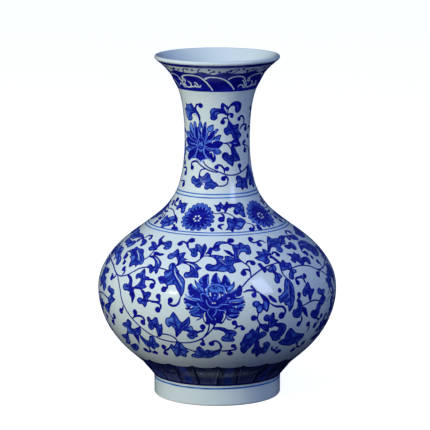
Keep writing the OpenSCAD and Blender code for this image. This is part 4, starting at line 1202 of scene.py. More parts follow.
def lotus(p):
    """The flower on the neck: pale petals behind, dark ones before them, and light lines between."""
    p.fill("line", ((-60, 306), (-56, 311), (-50, 310), (-48, 314.6), (-43, 313), (-40, 317), (-36, 314),
                    (-32, 318), (-29, 312), (-25, 316), (-22, 313.6), (-18.6, 315.4), (-17, 310),
                    (-10, 313), (-9, 308.6), (-3, 310), (-4, 305.4), (3, 306), (1, 302.6), (4, 298),
                    (0, 293.6), (3, 291.6), (-5, 291), (-8, 288), (-8, 284.6), (-14, 285), (-20, 284),
                    (-30, 283), (-38, 284.6), (-48, 283.6), (-54, 284.4), (-57, 288), (-52, 292),
                    (-60, 294), (-66, 297), (-64, 301), (-60, 303)))
    for edge in (
        ((-30, 320.4), (-33.7, 317.6), (-34.6, 314.6), (-32, 311), (-28, 311), (-25.8, 315),
         (-27, 318.2)),
        ((-19, 320.2), (-22.6, 318.6), (-24.6, 315), (-20, 312), (-18.6, 316)),
        ((-6.8, 317.8), (-6, 315.4), (-6.4, 312.4), (-10, 310.6), (-15, 310.6), (-18.4, 312.4),
         (-16.6, 315.2), (-12.6, 316.8)),
        ((3, 312.5), (0, 313.9), (-3, 313), (-5.6, 310.8), (-2, 308.8), (0.4, 311)),
        ((7.2, 307.5), (4, 308), (0, 307.2), (-4, 305.8), (-7, 303), (-2, 301), (3.4, 302), (5.4, 304.4)),
        ((8, 290.8), (4.6, 293.6), (1, 294.8), (-3, 294), (-7, 292), (-4.6, 289.7), (-1, 288.7),
         (4, 289)),
        ((-52, 318.4), (-55.2, 316.4), (-57, 313), (-55, 308), (-49, 304), (-44, 308), (-45, 312.6),
         (-47.4, 316.4)),
        ((-42, 320), (-44.8, 318.4), (-44.4, 314), (-41, 311.5), (-38.2, 315), (-38.8, 318.6)),
        ((-70.6, 307.4), (-66, 309.2), (-60, 308.8), (-54, 306), (-56, 302.6), (-64, 303.6),
         (-68, 304.8)),
        ((-74, 291.4), (-66, 293.8), (-60, 294.8), (-54, 293), (-56, 289.6), (-64, 289.4)),
    ):
        p.drawn_leaf(edge, rim=0.95)
    for edge in (
        ((-40, 316.8), (-42.2, 313), (-42.6, 308), (-40, 302), (-36, 298), (-31, 302), (-33.2, 308),
         (-35.6, 313)),
        ((-54, 312.6), (-57.2, 308), (-55.4, 302.6), (-50, 299), (-38, 297), (-38, 302), (-45, 306.6),
         (-50, 310.4)),
        ((-20.2, 317.4), (-24.6, 315.2), (-27.8, 311), (-28.4, 306), (-28, 300), (-22, 300), (-20, 306),
         (-18.6, 311.4)),
        ((-2.8, 312.2), (-8, 311.2), (-14.2, 308.4), (-18.4, 304.4), (-22, 300), (-14, 301.6),
         (-8, 304.2), (-4.4, 307.8)),
        ((11.4, 299.8), (7, 301.4), (1, 302.2), (-6, 301.8), (-14, 300.4), (-24, 298), (-14, 295.2),
         (-6, 294.8), (2, 294.7), (7, 296.8)),
        ((-7.6, 281), (-3.2, 282.8), (-2.2, 286), (-4.4, 289.6), (-9, 292.1), (-15, 292.8), (-24, 296),
         (-24, 291.4), (-20, 287.8), (-15, 285.2), (-10, 283.6)),
        ((-29.5, 281.8), (-34, 283.2), (-38.8, 284.4), (-40.8, 286.6), (-38.4, 291), (-36, 296),
         (-24, 296), (-23.4, 291), (-20.8, 287), (-20.2, 284.8), (-26, 283.2)),
        ((-58, 281), (-62, 283.8), (-60.6, 287.2), (-56, 290.8), (-50, 292.8), (-44, 294.4), (-36, 296),
         (-37.6, 291), (-41.2, 286.8), (-48, 284.2), (-53, 282.6)),
        ((-71, 300), (-66, 303), (-58, 303.8), (-50, 301.8), (-38, 299.6), (-38, 296), (-46, 294.4),
         (-56, 294.8), (-64, 296.8)),
        ((-36, 300), (-33, 304.6), (-29, 306.4), (-25, 303.6), (-22, 299), (-24, 294), (-30, 292),
         (-36, 295)),
    ):
        p.fill("line", edge)
        p.stroke(*edge, edge[0], width=0.45, tone="mist")
    for line in (
        ((-27, 303.6), (-28.2, 309), (-26.2, 313.4), (-22, 317)),
        ((-18.4, 304.6), (-17.4, 309.6), (-18.4, 314)),
        ((-19, 301.4), (-11, 302.8), (-6, 305.8), (-3.2, 310.4)), ((-15, 300.8), (-5, 302.7), (2, 302.6)),
        ((-18, 294.8), (-6, 293.8), (2, 294.3)),
        ((-24, 295.6), (-24.2, 291.2), (-20.4, 287), (-14, 284), (-8, 281.2)),
        ((-36, 295.4), (-38.6, 291), (-42, 286.8), (-50, 283.6), (-57, 281)),
        ((-39, 283.6), (-34, 282), (-29.6, 281), (-25, 282.2), (-21, 284.6)),
        ((-43.6, 303.4), (-43.6, 309), (-42.6, 313.6), (-40.6, 317)),
        ((-36, 300.4), (-34, 304), (-34.4, 309)), ((-58, 299), (-50, 297.6), (-43, 298)),
        ((-46, 303.6), (-52, 306.6), (-54, 310.4)), ((-51, 315.4), (-49.6, 311.6), (-48, 309)),
        ((-46, 298.8), (-40, 297), (-36.6, 298.6)), ((-33, 301.8), (-31.6, 304.8)),
        ((-27.8, 301.6), (-28.4, 304.4)), ((-32, 293.6), (-31, 290.6)), ((-28, 293.4), (-28, 290.4)),
    ):
        p.stroke(*line, width=0.7, tone="mist")
    for line in (((-15, 306.8), (-14.2, 309.2), (-11.6, 310)),
                 ((-9, 299.8), (-7.2, 301.7), (-3.4, 301.9)),
                 ((-13.2, 290.4), (-10.2, 291.2), (-7.6, 289.8), (-6.2, 286.4)),
                 ((-27.4, 310), (-29, 312), (-27.6, 314.2))):
        p.stroke(*line, width=0.85, tone="bare")
    p.fill("line", ((-37, 298), (-34, 302.6), (-30, 304.4), (-26, 302), (-22.6, 298.6), (-26, 294.4),
                    (-30, 293), (-34.4, 294.6)))
    p.dab(-30, 298.2, 1.7, tone="wash", stretch=1.4)
    for turn, run in ((-34, 296.8), (-30, 295), (-26, 297), (-33, 300.8), (-27.4, 300.6)):
        p.dab(turn, run, 0.55, tone="mist")


def neck_stems(p):
    """The long tendrils that carry the leaves of the neck."""
    for line in (
        ((-25, 282.6), (-21, 279.2), (-15, 276.6), (-8, 274.7), (0, 273.1), (7, 271.3), (12, 270),
         (20, 269), (30, 269), (38, 270), (46, 271.6), (55, 273.6), (62, 275.6), (67, 278.4), (70.6, 283),
         (71.4, 289), (67.4, 293.8), (58, 296)),
        ((1, 271.8), (-10, 273), (-19, 275), (-27, 277.4), (-32, 279.4)),
        ((71.4, 288), (80, 294), (92, 297), (106, 298)),
        ((-20, 274.8), (-25.6, 274.2), (-29, 272.4), (-30.4, 268), (-30.4, 264)),
        ((-31.5, 319), (-30.6, 323.6), (-32, 327)),
        ((18, 329.6), (17.2, 325.6), (19.4, 321.8), (23, 319.4)),
        ((10.4, 299.7), (17, 298.9), (22, 296.4), (25.4, 292.6), (26, 289.5)),
        ((3, 258.9), (9, 258.9), (14.6, 260.4), (17.2, 263.4)), ((58.6, 271.4), (60, 275.2)),
        ((-76, 258.8), (-70, 260.6), (-65, 260.8)),
    ):
        p.stroke(*line, width=1.35, ends=(0.9, 0.9))


def neck_high_leaves(p):
    """Leaves above and to the right of the flower on the neck."""
    p.drawn_leaf(((-30, 320), (-29.3, 324), (-31, 327.2), (-34, 330), (-38, 332.6), (-41, 334.2),
                  (-44, 336.7), (-46.5, 337.8), (-49, 336.2), (-52, 336.2), (-56, 335.7), (-60.4, 336.8),
                  (-60.7, 334), (-63, 331.7), (-68, 330.5), (-66.4, 328), (-64.2, 325.4), (-62.2, 322),
                  (-58, 320), (-53, 319.6), (-48.2, 320.6), (-46, 323), (-47, 325), (-44, 326.2),
                  (-40, 325.8), (-36, 324.2), (-33, 321.4)),
                 ((-31, 322), (-34, 327.4), (-40, 330), (-50, 330.4)),
                 ((-41, 330.4), (-45.6, 333), (-47, 336)), ((-40, 329), (-49, 327.2), (-54, 324)))
    p.stroke((-47.6, 325.2), (-43, 327), (-38.6, 326.6), (-34.8, 323.8), (-33.4, 321.4), width=0.8,
             tone="bare")
    p.drawn_leaf(((15, 326.4), (15.6, 329.6), (12.6, 331.7), (9, 333.2), (5, 333.5), (0, 333.6),
                  (-5, 334), (-9.2, 333.2), (-11.8, 331), (-12, 328), (-11.2, 326), (-12.2, 324),
                  (-10.2, 322.1), (-6, 321.5), (-1.8, 322.3), (0.8, 324.4), (0.4, 326.5), (2, 327.8),
                  (6, 328.3), (11, 327.9)),
                 ((14, 328.6), (8, 330.2), (0, 330.8), (-5, 330)),
                 ((-3, 330.6), (-6.6, 328.4), (-7.4, 325)))
    p.fill("line", ((16, 326.6), (15.6, 330), (11, 331.8), (4, 332), (4.4, 328.4), (10, 328)))
    p.dab(-2.4, 325, 1.9)
    p.dab(-1.8, 325.6, 0.6, tone="wash")
    p.fill("line", ((16, 331.6), (18.6, 334.5), (15, 336.5), (11.5, 338), (8.5, 339.2), (6.3, 338.2),
                    (5.3, 335.5), (6.4, 332.8), (9, 331.4), (13, 330)))
    p.stroke((11.4, 334.8), (13.2, 333), (14.4, 330.8), width=1.2, tone="bare")
    p.fill("line", ((17, 327.6), (17, 332), (19.3, 335.7), (24, 338.8), (29, 340.2), (36, 339.7),
                    (41.7, 337.2), (43, 333.8), (41.7, 330.9), (38.6, 328.8), (35, 328), (31.4, 329.2),
                    (29.7, 332), (30, 334), (27.5, 335.5), (23.2, 335.2), (19.8, 333), (18.6, 330),
                    (18.4, 327)))
    p.stroke((35.6, 330.4), (36.4, 333.4), (33.6, 335.6), width=0.7, tone="wash")
    p.drawn_leaf(((19, 320.7), (24, 319.5), (27.6, 317.6), (30, 316.6), (35, 317.6), (39.8, 317.4),
                  (40.7, 315), (39.6, 312.2), (41.2, 310.6), (44.8, 308.6), (47.4, 306.8), (45.6, 304.6),
                  (42, 303.3), (40, 301.2), (36, 302.3), (31, 303.3), (27.8, 303.9), (26.6, 306.3),
                  (25.2, 307.8), (22, 308.1), (20, 307.2), (17.5, 306.7), (14.3, 307.9), (11.7, 310),
                  (10.8, 312), (12.4, 314.2), (15.3, 315), (17.4, 316.2), (17.8, 318.7)),
                 ((21, 319), (26.6, 313.4), (32, 308.4), (36, 303.6)),
                 ((25, 315), (21.6, 312.6), (17.4, 312.6), (15, 310.8)),
                 ((28, 312), (34, 313.8), (38, 316)), ((32, 308.6), (39, 307.6), (44.6, 307)),
                 ((21, 319.6), (25.6, 317), (28, 313.4)), tone="shade")
    p.fill("line", ((10.4, 299.9), (18, 300.5), (24, 301), (28, 302.2), (33, 303.6), (40, 302),
                    (43.4, 299.6), (46, 296), (40, 295.7), (34, 295), (28, 296.8), (22, 299),
                    (14, 299.4)))
    p.stroke((29, 298.6), (33, 299), (37, 298.6), width=0.7, tone="mist")


def neck_low_leaves(p):
    """Leaves level with the foot of the flower on the neck, and below it."""
    p.drawn_leaf(((25.6, 297.4), (30, 296), (34, 293.8), (36.2, 290.7), (40.2, 287.8), (42.3, 284.8),
                  (43, 282.1), (38, 281.7), (34, 281.3), (30.3, 281.1), (28.7, 278.3), (26, 276.7),
                  (22.8, 278.4), (18.8, 279.8), (16.2, 281.4), (12.2, 283.1), (8.6, 285.4), (7.6, 287.8),
                  (9.8, 290.1), (14, 291.1), (18.3, 290.5), (20.3, 288.9), (23, 288.3), (25.4, 289),
                  (25.8, 292), (24.8, 295)),
                 ((28, 294.6), (30, 289.6), (28.4, 284), (26.2, 279)),
                 ((30, 289), (35, 286.6), (40.6, 283.6)), ((27.6, 286.4), (22, 285), (16, 284.6)),
                 ((10.6, 286.4), (12.4, 289), (16.6, 288.8), (17.2, 286.8), (14.4, 286.2)), tone="shade")
    p.drawn_leaf(((-30.8, 266.6), (-34, 265.1), (-37, 266.2), (-40.5, 267.6), (-44.2, 266.4),
                  (-45.6, 263.8), (-44.2, 261.2), (-41, 259.6), (-38, 259.4), (-36.6, 258.1),
                  (-33, 256.9), (-28.5, 256.5), (-25.8, 257.2), (-24.2, 259.4), (-21.6, 258.4),
                  (-19.8, 256.2), (-16, 255), (-12.5, 256), (-10, 256.4), (-6.4, 255.6), (-3.4, 257.2),
                  (-1, 258.3), (3.2, 258.6), (0.7, 260.8), (-1.8, 262.5), (-5.3, 263.4), (-7.8, 265.2),
                  (-10.2, 266.8), (-11.2, 269.2), (-13.8, 271.3), (-18, 271.6), (-20.6, 269.6),
                  (-23, 268.1), (-26.4, 267.6), (-29.4, 269)),
                 ((-30, 268), (-27, 263.6), (-20, 260.6), (-8, 259)),
                 ((-24, 264.8), (-18.6, 265.4), (-15, 268.4)), ((-18, 261.4), (-12, 262.4), (-8.6, 263)),
                 ((-29, 264), (-34, 262.4), (-40, 263.4)), ((-27, 261), (-31, 259.6), (-33, 259.6)))
    p.stroke((-28.8, 266.4), (-26.6, 263.6), (-22.6, 261.4), (-18.6, 260.6), width=0.65, tone="pale")
    p.drawn_leaf(((30.8, 265), (32.3, 267.6), (36, 268.3), (40, 267.4), (43.5, 265.7), (48, 265.2),
                  (53, 265.7), (56.6, 269), (58.8, 272.6), (58.6, 266), (55.4, 261.8), (53.4, 258.4),
                  (52.4, 254.7), (49, 254.1), (46, 255.9), (43, 254.7), (40, 253.7), (37.4, 256.1),
                  (33, 256.7), (29.2, 256.9), (29.7, 260), (32.6, 261.6), (31.2, 263.4)),
                 ((57.6, 270), (51, 264), (43, 261.6), (36, 261)),
                 ((46, 262.4), (41.4, 259), (40.2, 256)), ((51.6, 263.6), (49.4, 259), (50.4, 256)),
                 ((43, 262.6), (38, 265), (34.6, 265.4)))
    p.drawn_leaf(((60, 275.6), (57.6, 271), (57.2, 266.5), (58.6, 262), (57, 258.2), (60, 256.2),
                  (64, 257.2), (67, 254.4), (71, 253.8), (76, 256), (78.6, 261), (77.4, 268),
                  (72.4, 272.4), (67, 276.8)),
                 ((62, 274.6), (65, 267), (67, 257)), ((64.6, 268), (71, 265), (75, 260)),
                 ((65.6, 263), (61.6, 260), (60.6, 258)))


def neck_curls(p):
    """The tendrils with round ends, and three lobed leaves at the far side of the repeat."""
    for points, bulb in (
        (((-35.6, 330), (-37.6, 333), (-34, 336.6), (-27.6, 335.8)), 2.3),
        (((-30, 278.4), (-37, 281.2), (-43, 281.2), (-49, 279), (-46.6, 275)), 2.1),
        (((11.6, 270.4), (11.8, 274.4), (7.6, 277.8), (2, 279), (-1.2, 276.8)), 1.9),
        (((11.8, 272.6), (13, 275.2), (16.8, 275)), 2.0),
        (((43.2, 270.8), (40.6, 273.8), (41, 277)), 2.1),
        (((16.6, 262), (17, 265.6), (13.6, 268), (10, 266)), 2.2),
        (((17.4, 325.6), (21, 327.8), (26.4, 327.2), (25, 325.6)), 1.8),
        (((17.6, 323.4), (13, 323.9), (9.4, 322.6), (9.4, 319.9)), 2.1),
        (((42.6, 311.4), (46.6, 314.8), (53, 316.2), (60.6, 315), (58.4, 311.8)), 2.3),
        (((51.4, 315.6), (52.8, 319.6), (50, 323.4), (44, 324.8), (40, 322.2)), 1.9),
        (((57.6, 296), (52.4, 297), (52.6, 299.6), (56, 299.4)), 1.7),
        (((57.4, 296), (56.6, 293.6), (57.4, 291)), 2.3),
        (((-76, 272.2), (-69, 273.8), (-61.6, 272.6), (-63, 268.4)), 2.2),
        (((-68, 260.6), (-61.4, 260.4), (-62.6, 257.4)), 2.3),
        (((-80, 281.6), (-75, 281.4), (-72.4, 277.8)), 2.3),
        (((66, 310.6), (71, 313.4), (78, 311.4)), 1.7), (((64.6, 307), (66, 303.6), (69, 303.6)), 1.9),
        (((80, 294), (81, 304), (87, 309)), 2.3), (((84, 326), (92, 329), (98, 325)), 2.3),
        (((70, 322), (76, 327), (72, 331)), 2.1), (((84, 262), (91, 265), (95, 261)), 2.3),
        (((92, 297.4), (97, 306), (103, 309)), 2.3),
    ):
        p.curl(*points, bulb=bulb, width=2.0)
    p.leaf((92, 297), (98, 291), (99, 281), half=5.2, lobes=(2, 3))
    p.leaf((80, 316), (89, 319.6), (99, 317), half=4.8, lobes=(2, 2))
    p.leaf((82, 284), (88, 280), (91, 273), half=4.4, lobes=(2, 2))


def neck_scrolls(p):
    """The tendrils and leaves round the flower on the neck."""
    neck_stems(p)
    neck_high_leaves(p)
    neck_low_leaves(p)
    neck_curls(p)


def rosette(p, turn, run, size):
    """A chrysanthemum: round petals, paler on the upper left and darker on the lower right, then a ring
    of dark ones with faint rays between them, and a dark heart with a ring of bare dots."""
    heart = (turn, run)
    middle = (turn - 0.5, run - 1.0)
    scale = degrees_per_mm(run)
    count = 18
    dots = 6

    def spot(angle, reach):
        """A place at an angle, some share of the way from the heart to the rim."""
        rim = (turn + size * math.cos(angle) * scale, run + size * math.sin(angle))
        return tuple(h + (r - h) * reach for h, r in zip(heart, rim))

    for i in range(count):
        angle = 2 * math.pi * (i + 0.3) / count
        shaded = -2.0 < math.remainder(angle, 2 * math.pi) < 0.9
        p.petal(heart, spot(angle, 1.0), size * 0.185, "shade" if shaded else "wash", round_tip=1.0)
    for i in range(count):
        angle = 2 * math.pi * (i + 0.3) / count
        p.petal(heart, spot(angle, 0.8 if i % 2 else 0.72), size * 0.125, round_tip=0.6)
        p.stroke(spot(angle, 0.6), spot(angle, 0.9), width=0.8, ends=(1, 0.2))
        between = 2 * math.pi * (i + 0.8) / count
        p.stroke(spot(between, 0.4), spot(between, 0.74), width=0.5, ends=(0.2, 0.8), tone="mist")
    p.dab(*middle, size * 0.3)
    for i in range(dots):
        angle = 2 * math.pi * (i + 0.2) / dots
        p.dab(middle[0] + 3.0 * math.cos(angle) * scale, middle[1] + 3.0 * math.sin(angle), 1.0,
              tone="bare")


def shoulder_gap_right(p, turn):
    """Leaves and tendrils in the gap to the right of a rosette, drawn for the front one."""
    def at(*points):
        return [(turn + x, y) for x, y in points]

    p.stroke(*at((-6, 232), (0, 231.2), (5, 232.2), (11, 231.4), (16, 228.8), (20, 225)), width=1.2)
    p.stroke(*at((26.6, 219.6), (31, 218), (35, 215.6)), width=1.1)
    p.drawn_leaf(at((-4.4, 240.6), (-2, 240.4), (1, 240.8), (3.4, 243.2), (4.6, 243.7), (6.4, 241.6),
                    (8.4, 240), (9, 237), (8, 235), (6, 236.4), (4.4, 236), (4.6, 234.4), (1.4, 233),
                    (-1, 234.6), (-1.6, 237)),
                 at((7.6, 236), (3, 238.4), (-2, 239.8)), at((3, 238.4), (4.4, 242)),
                 at((4, 238), (1.6, 235)))
    p.fill("line", at((8.2, 231), (8.2, 236), (8.8, 240), (10.6, 242.4), (12.4, 244), (14.6, 242),
                      (15.4, 239.6), (13.4, 236.6), (10.6, 233)))
    p.drawn_leaf(at((13, 238.4), (15.2, 241.4), (20, 241.2), (25, 241.2), (29.4, 242.3), (33, 240.8),
                    (34.2, 237.6), (33.4, 234), (32.4, 230.6), (31.4, 226), (28, 226), (26, 228.6),
                    (23.4, 229.8), (20.8, 229), (18.8, 231.4), (19, 234), (21.2, 236.6), (18.6, 237.6),
                    (15, 236.4)),
                 at((15, 239), (22, 239.4), (28, 236), (30, 228.6)), at((28, 236.4), (31.4, 239.6)),
                 at((28, 234), (24, 231.4), (21, 231.4)), at((29, 232.6), (31.6, 234)))
    p.fill("line", at((19, 231.4), (21, 229), (23.4, 229.8), (22.8, 232.6), (21.6, 234.6), (19.6, 233.8)))
    p.drawn_leaf(at((20.2, 225.6), (18.4, 227.4), (15.8, 225), (12, 226.8), (9.6, 224.6), (9.4, 220),
                    (9.8, 217), (8.4, 213.6), (6.6, 211.2), (10.6, 211.4), (13, 208.4), (15, 212),
                    (18.4, 210.8), (22.2, 212.4), (24.4, 215.4), (26.6, 217.6), (28.8, 220.6),
                    (28, 223.4), (24.8, 225.6)),
                 at((20, 224.6), (17.6, 219), (14, 214), (12.6, 210)),
                 at((17.6, 219.4), (12, 221.6), (10.8, 224)), at((18.4, 221), (23, 222), (26.8, 221)),
                 at((16.6, 217), (20, 215.2), (21.4, 213)), at((15.6, 215.6), (11.4, 215)))
    p.fill("line", at((16, 225), (18.2, 227), (20.6, 225.4), (20.4, 221.6), (17.6, 220.4), (16, 222.6)))
    p.curl(*at((3.6, 231.2), (6.6, 229.4), (6.6, 225.6), (4.2, 224.6)), bulb=2.9)
    p.fill("line", at((4.6, 212), (2.2, 213.2), (0.2, 215.4), (0.6, 218.2), (3, 219.2), (5.4, 219.5),
                      (6.8, 217.8), (5, 217.2), (3.4, 216), (4.2, 214)))
    p.fill("line", at((-6.4, 214.6), (-3.6, 214.4), (-2.2, 212), (-3, 209.8), (-5.2, 209.6), (-6.4, 212)))
    p.curl(*at((34, 216), (33.6, 212), (30.4, 210.2)), bulb=2.6)
    p.curl(*at((36, 214.6), (39.4, 213), (38.6, 210.8)), bulb=2.5)


def shoulder_gap_left(p, turn):
    """The other spray of the shoulder band, in the gap to the left of a rosette."""
    def at(*points):
        return [(turn + x, y) for x, y in points]

    p.stroke(*at((-78, 233), (-72, 230.8), (-64, 231.2), (-57, 230), (-52, 226.6), (-47, 223),
                 (-42, 217.4)), width=1.2)
    p.drawn_leaf(at((-57.4, 242), (-54.6, 242.4), (-52, 240.8), (-49.8, 239.6), (-46, 240.7),
                    (-43, 240.2), (-40, 240.4), (-40.6, 236.4), (-39.6, 232.6), (-39.4, 229.6),
                    (-42, 228.8), (-44.6, 230.2), (-46.4, 233), (-49.6, 233.8), (-50.8, 231.8),
                    (-54, 231.8), (-56.4, 234.8), (-54.8, 237.4), (-57, 239.6)),
                 at((-44, 230.4), (-47, 235.4), (-53, 239.4)), at((-47, 235.4), (-42.6, 238.4)),
                 at((-48, 236), (-52.6, 234)))
    p.fill("line",
           at((-50, 226.6), (-45.6, 224.4), (-42.4, 221.8), (-40, 216.4), (-43, 217.8), (-47, 221.4)))
    p.drawn_leaf(at((-46, 223), (-50, 224.4), (-54, 223.4), (-57, 221.6), (-60.2, 223.8), (-63, 222.2),
                    (-63.6, 218), (-62, 214), (-60, 212), (-57, 212), (-55, 208.8), (-52, 208),
                    (-50, 210.6), (-47, 211.8), (-45, 213.8), (-44, 217)),
                 at((-45, 221.6), (-50, 218), (-55.6, 212)), at((-50, 218), (-55, 219.8), (-60, 220.6)),
                 at((-52, 216), (-59, 214.6)), at((-50.4, 217.4), (-48, 213.4)))
    p.curl(*at((-56, 235.4), (-62, 236), (-65.4, 239), (-63.4, 241.6)), bulb=2.4, width=2.0)
    p.curl(*at((-70, 215), (-68, 212.4)), bulb=2.6)
    p.curl(*at((-44, 215), (-41, 213.6), (-40.4, 210.8)), bulb=2.1)
    p.curl(*at((-38.6, 213), (-36.8, 209.4)), bulb=2.1)
    p.curl(*at((-74, 238), (-70, 239.6), (-69, 236.4)), bulb=2.0)
    p.curl(*at((-73.4, 224), (-70.6, 221.6), (-71.2, 218)), bulb=1.9)
    p.curl(*at((-67.6, 224.6), (-66.2, 221), (-67.8, 217.4)), bulb=1.7)
    p.fill("line", at((-77, 228.6), (-73, 227.4), (-69, 228.6), (-66, 227), (-69.6, 225.4), (-74, 225.6)))


def shoulder_sprays(p):
    """Five rosettes round the shoulder, with the two sprays by turns in the gaps between them."""
    for i in range(5):
        rosette(p, -20.5 + 72 * i, 226.0, 16.2)
    for turn in (0, 144):
        shoulder_gap_right(p, turn)
    for turn in (0, 144, 288):
        shoulder_gap_left(p, turn)


def wave_edge(turn):
    """The crests along the top of the waves."""
    crest = 2.6 * math.sin(math.radians(turn * 6 + 25))**2
    return 371.4 + crest + 0.7 * math.sin(math.radians(turn * 18))


def waves_detail(p):
    """Three waves with bare crest lines and spray, and the marks in the strip above them."""
    p.stroke((-49, 362), (-47.4, 365.2), (-44, 367.4), (-38, 368.6), (-32, 368.9), (-26, 368.4),
             (-21, 366.8), (-17, 363.6), (-13, 359.8), (-10, 356.2), (-6.2, 351.8), width=1.75,
             ends=(0.8, 0.6), tone="bare")
    p.stroke((-16, 364.8), (-11, 366.7), (-5, 367.2), (1, 366.6), (7, 364.9), (12, 362.4), (17, 358.8),
             (21, 355.4), (24.6, 352), width=1.6, ends=(1, 0.6), tone="bare")
    p.stroke((13.6, 364.2), (17.6, 366.6), (23, 367.8), (29, 367.6), (33.6, 366), (36.6, 363.4),
             (38.6, 360.6), width=1.5, ends=(1, 0.6), tone="bare")
    for points in (
        ((29.2, 354.8), (30.4, 356.6), (33.4, 357.4), (36.6, 356.2), (38.4, 354.2), (42, 353.4)),
        ((32.6, 362.8), (35.6, 361.4), (37.4, 358.8)),
        ((40.4, 365.6), (43.4, 364.2), (45.2, 361.6), (43.8, 359.4)),
        ((-44.6, 361.4), (-48.6, 361.6), (-51.4, 359.8), (-51, 357), (-47, 354.8), (-42, 354.2),
         (-35, 355.2), (-28, 355.2), (-23.4, 354.8)),
        ((-41.4, 361), (-38.2, 359.8), (-36.8, 357.4), (-38.4, 355.4)),
        ((-31.6, 359.4), (-29, 359.8), (-27.4, 358), (-25.6, 355.6)), ((-24.4, 355), (-22, 357.2)),
        ((-47, 358.6), (-49, 357.6), (-46.4, 356.4)), ((-30, 355.4), (-31, 357.8)),
        ((-16.4, 364.8), (-13, 365), (-13.6, 367)),
    ):
        p.stroke(*points, width=1.35, ends=(0.5, 0.5), tone="bare")
    for points in (((-57, 372), (-53, 376), (-50, 377)), ((-21, 373), (-20, 377), (-17, 379)),
                   ((-9, 371), (-7, 373.6), (-3.6, 375)), ((13, 372), (16, 376.8), (20, 379.6)),
                   ((-40, 372), (-38, 376.4), (-34, 379.6)), ((16, 372), (20, 374.6), (22, 378))):
        p.stroke(*points, width=1.3)
    for turn, run in ((-50, 377.2), (-45, 375.6), (-32.5, 377.6), (-26.6, 377), (-8.2, 378),
                      (-3.6, 375.2), (2.4, 374.8), (11, 375), (14, 376.6), (22.4, 378), (27.8, 378.2),
                      (33, 375.6)):
        p.dab(turn, run, 1.5)


def lappets(p):
    """A pair of dark panels above the foot: one with pale scrolls, and one with a blue strip."""
    def top(turn):
        """The scalloped upper edge, which dips in the middle of each panel."""
        part = ((turn - LAPPET_PITCH / 4) / (LAPPET_PITCH / 2)) % 1
        return 52.0 + 3.4 * abs(2 * part - 1)**3

    left, right, far = (-LAPPET_PITCH / 4, LAPPET_PITCH / 4, LAPPET_PITCH * 3 / 4)
    band(p, "night", 20.2, top, start=left, span=LAPPET_PITCH, step=1.0)
    # The lower part of each panel is laid in a paler cobalt: a painted reflection of the floor below the
    # foot.
    p.lay("painted_reflection", [(left + 0.9, 22.4), (right - 0.9, 22.4), (right - 0.7, 33.2), (left + 0.7, 33.2)])
    p.lay("painted_reflection", [(right + 0.9, 22.4), (far - 0.9, 22.4), (far - 0.7, 33.2), (right + 0.7, 33.2)])
    middle = (right + far) / 2
    p.lay("strip", [(middle - 3.4, 33.8), (middle + 3.4, 33.8), (middle + 3.0, 50), (middle, 52),
                    (middle - 3.0, 50)])
    p.lay("strip", [(middle - 3.0, 23), (middle + 3.0, 23), (middle + 3.2, 33.2), (middle - 3.2, 33.2)])
    p.stroke((-8.9, 48.2), (0, 47.4), (8.9, 48.2), width=0.45, tone="haze")
    for side in (-1, 1):
        p.stroke((side * 8.9, 48), (side * 7.5, 36), (side * 6.3, 22.6), width=0.6, tone="pale")
        p.stroke((side * 2.2, 39.4), (side * 3.6, 38.4), (side * 4.8, 40), (side * 3.4, 41.4), width=0.5,
                 tone="pale")
        p.stroke((side * 0.6, 37), (side * 4.4, 37.6), (side * 6, 40.4), (side * 4.4, 43.6),
                 (side * 1.8, 42.4), (side * 2.6, 40.4), width=0.6, tone="haze")
        p.stroke((side * 0.6, 46.6), (side * 3, 48.4), (side * 6.2, 47.2), (side * 6.6, 44.6), width=0.6,
                 tone="haze")
        p.stroke((side * 4.6, 24), (side * 4.2, 28), (side * 1.8, 31.6), width=0.5, tone="haze")
    p.stroke((0, 38), (0, 45.6), width=0.6, tone="haze")


# ---------------------------------------------------------------- materials


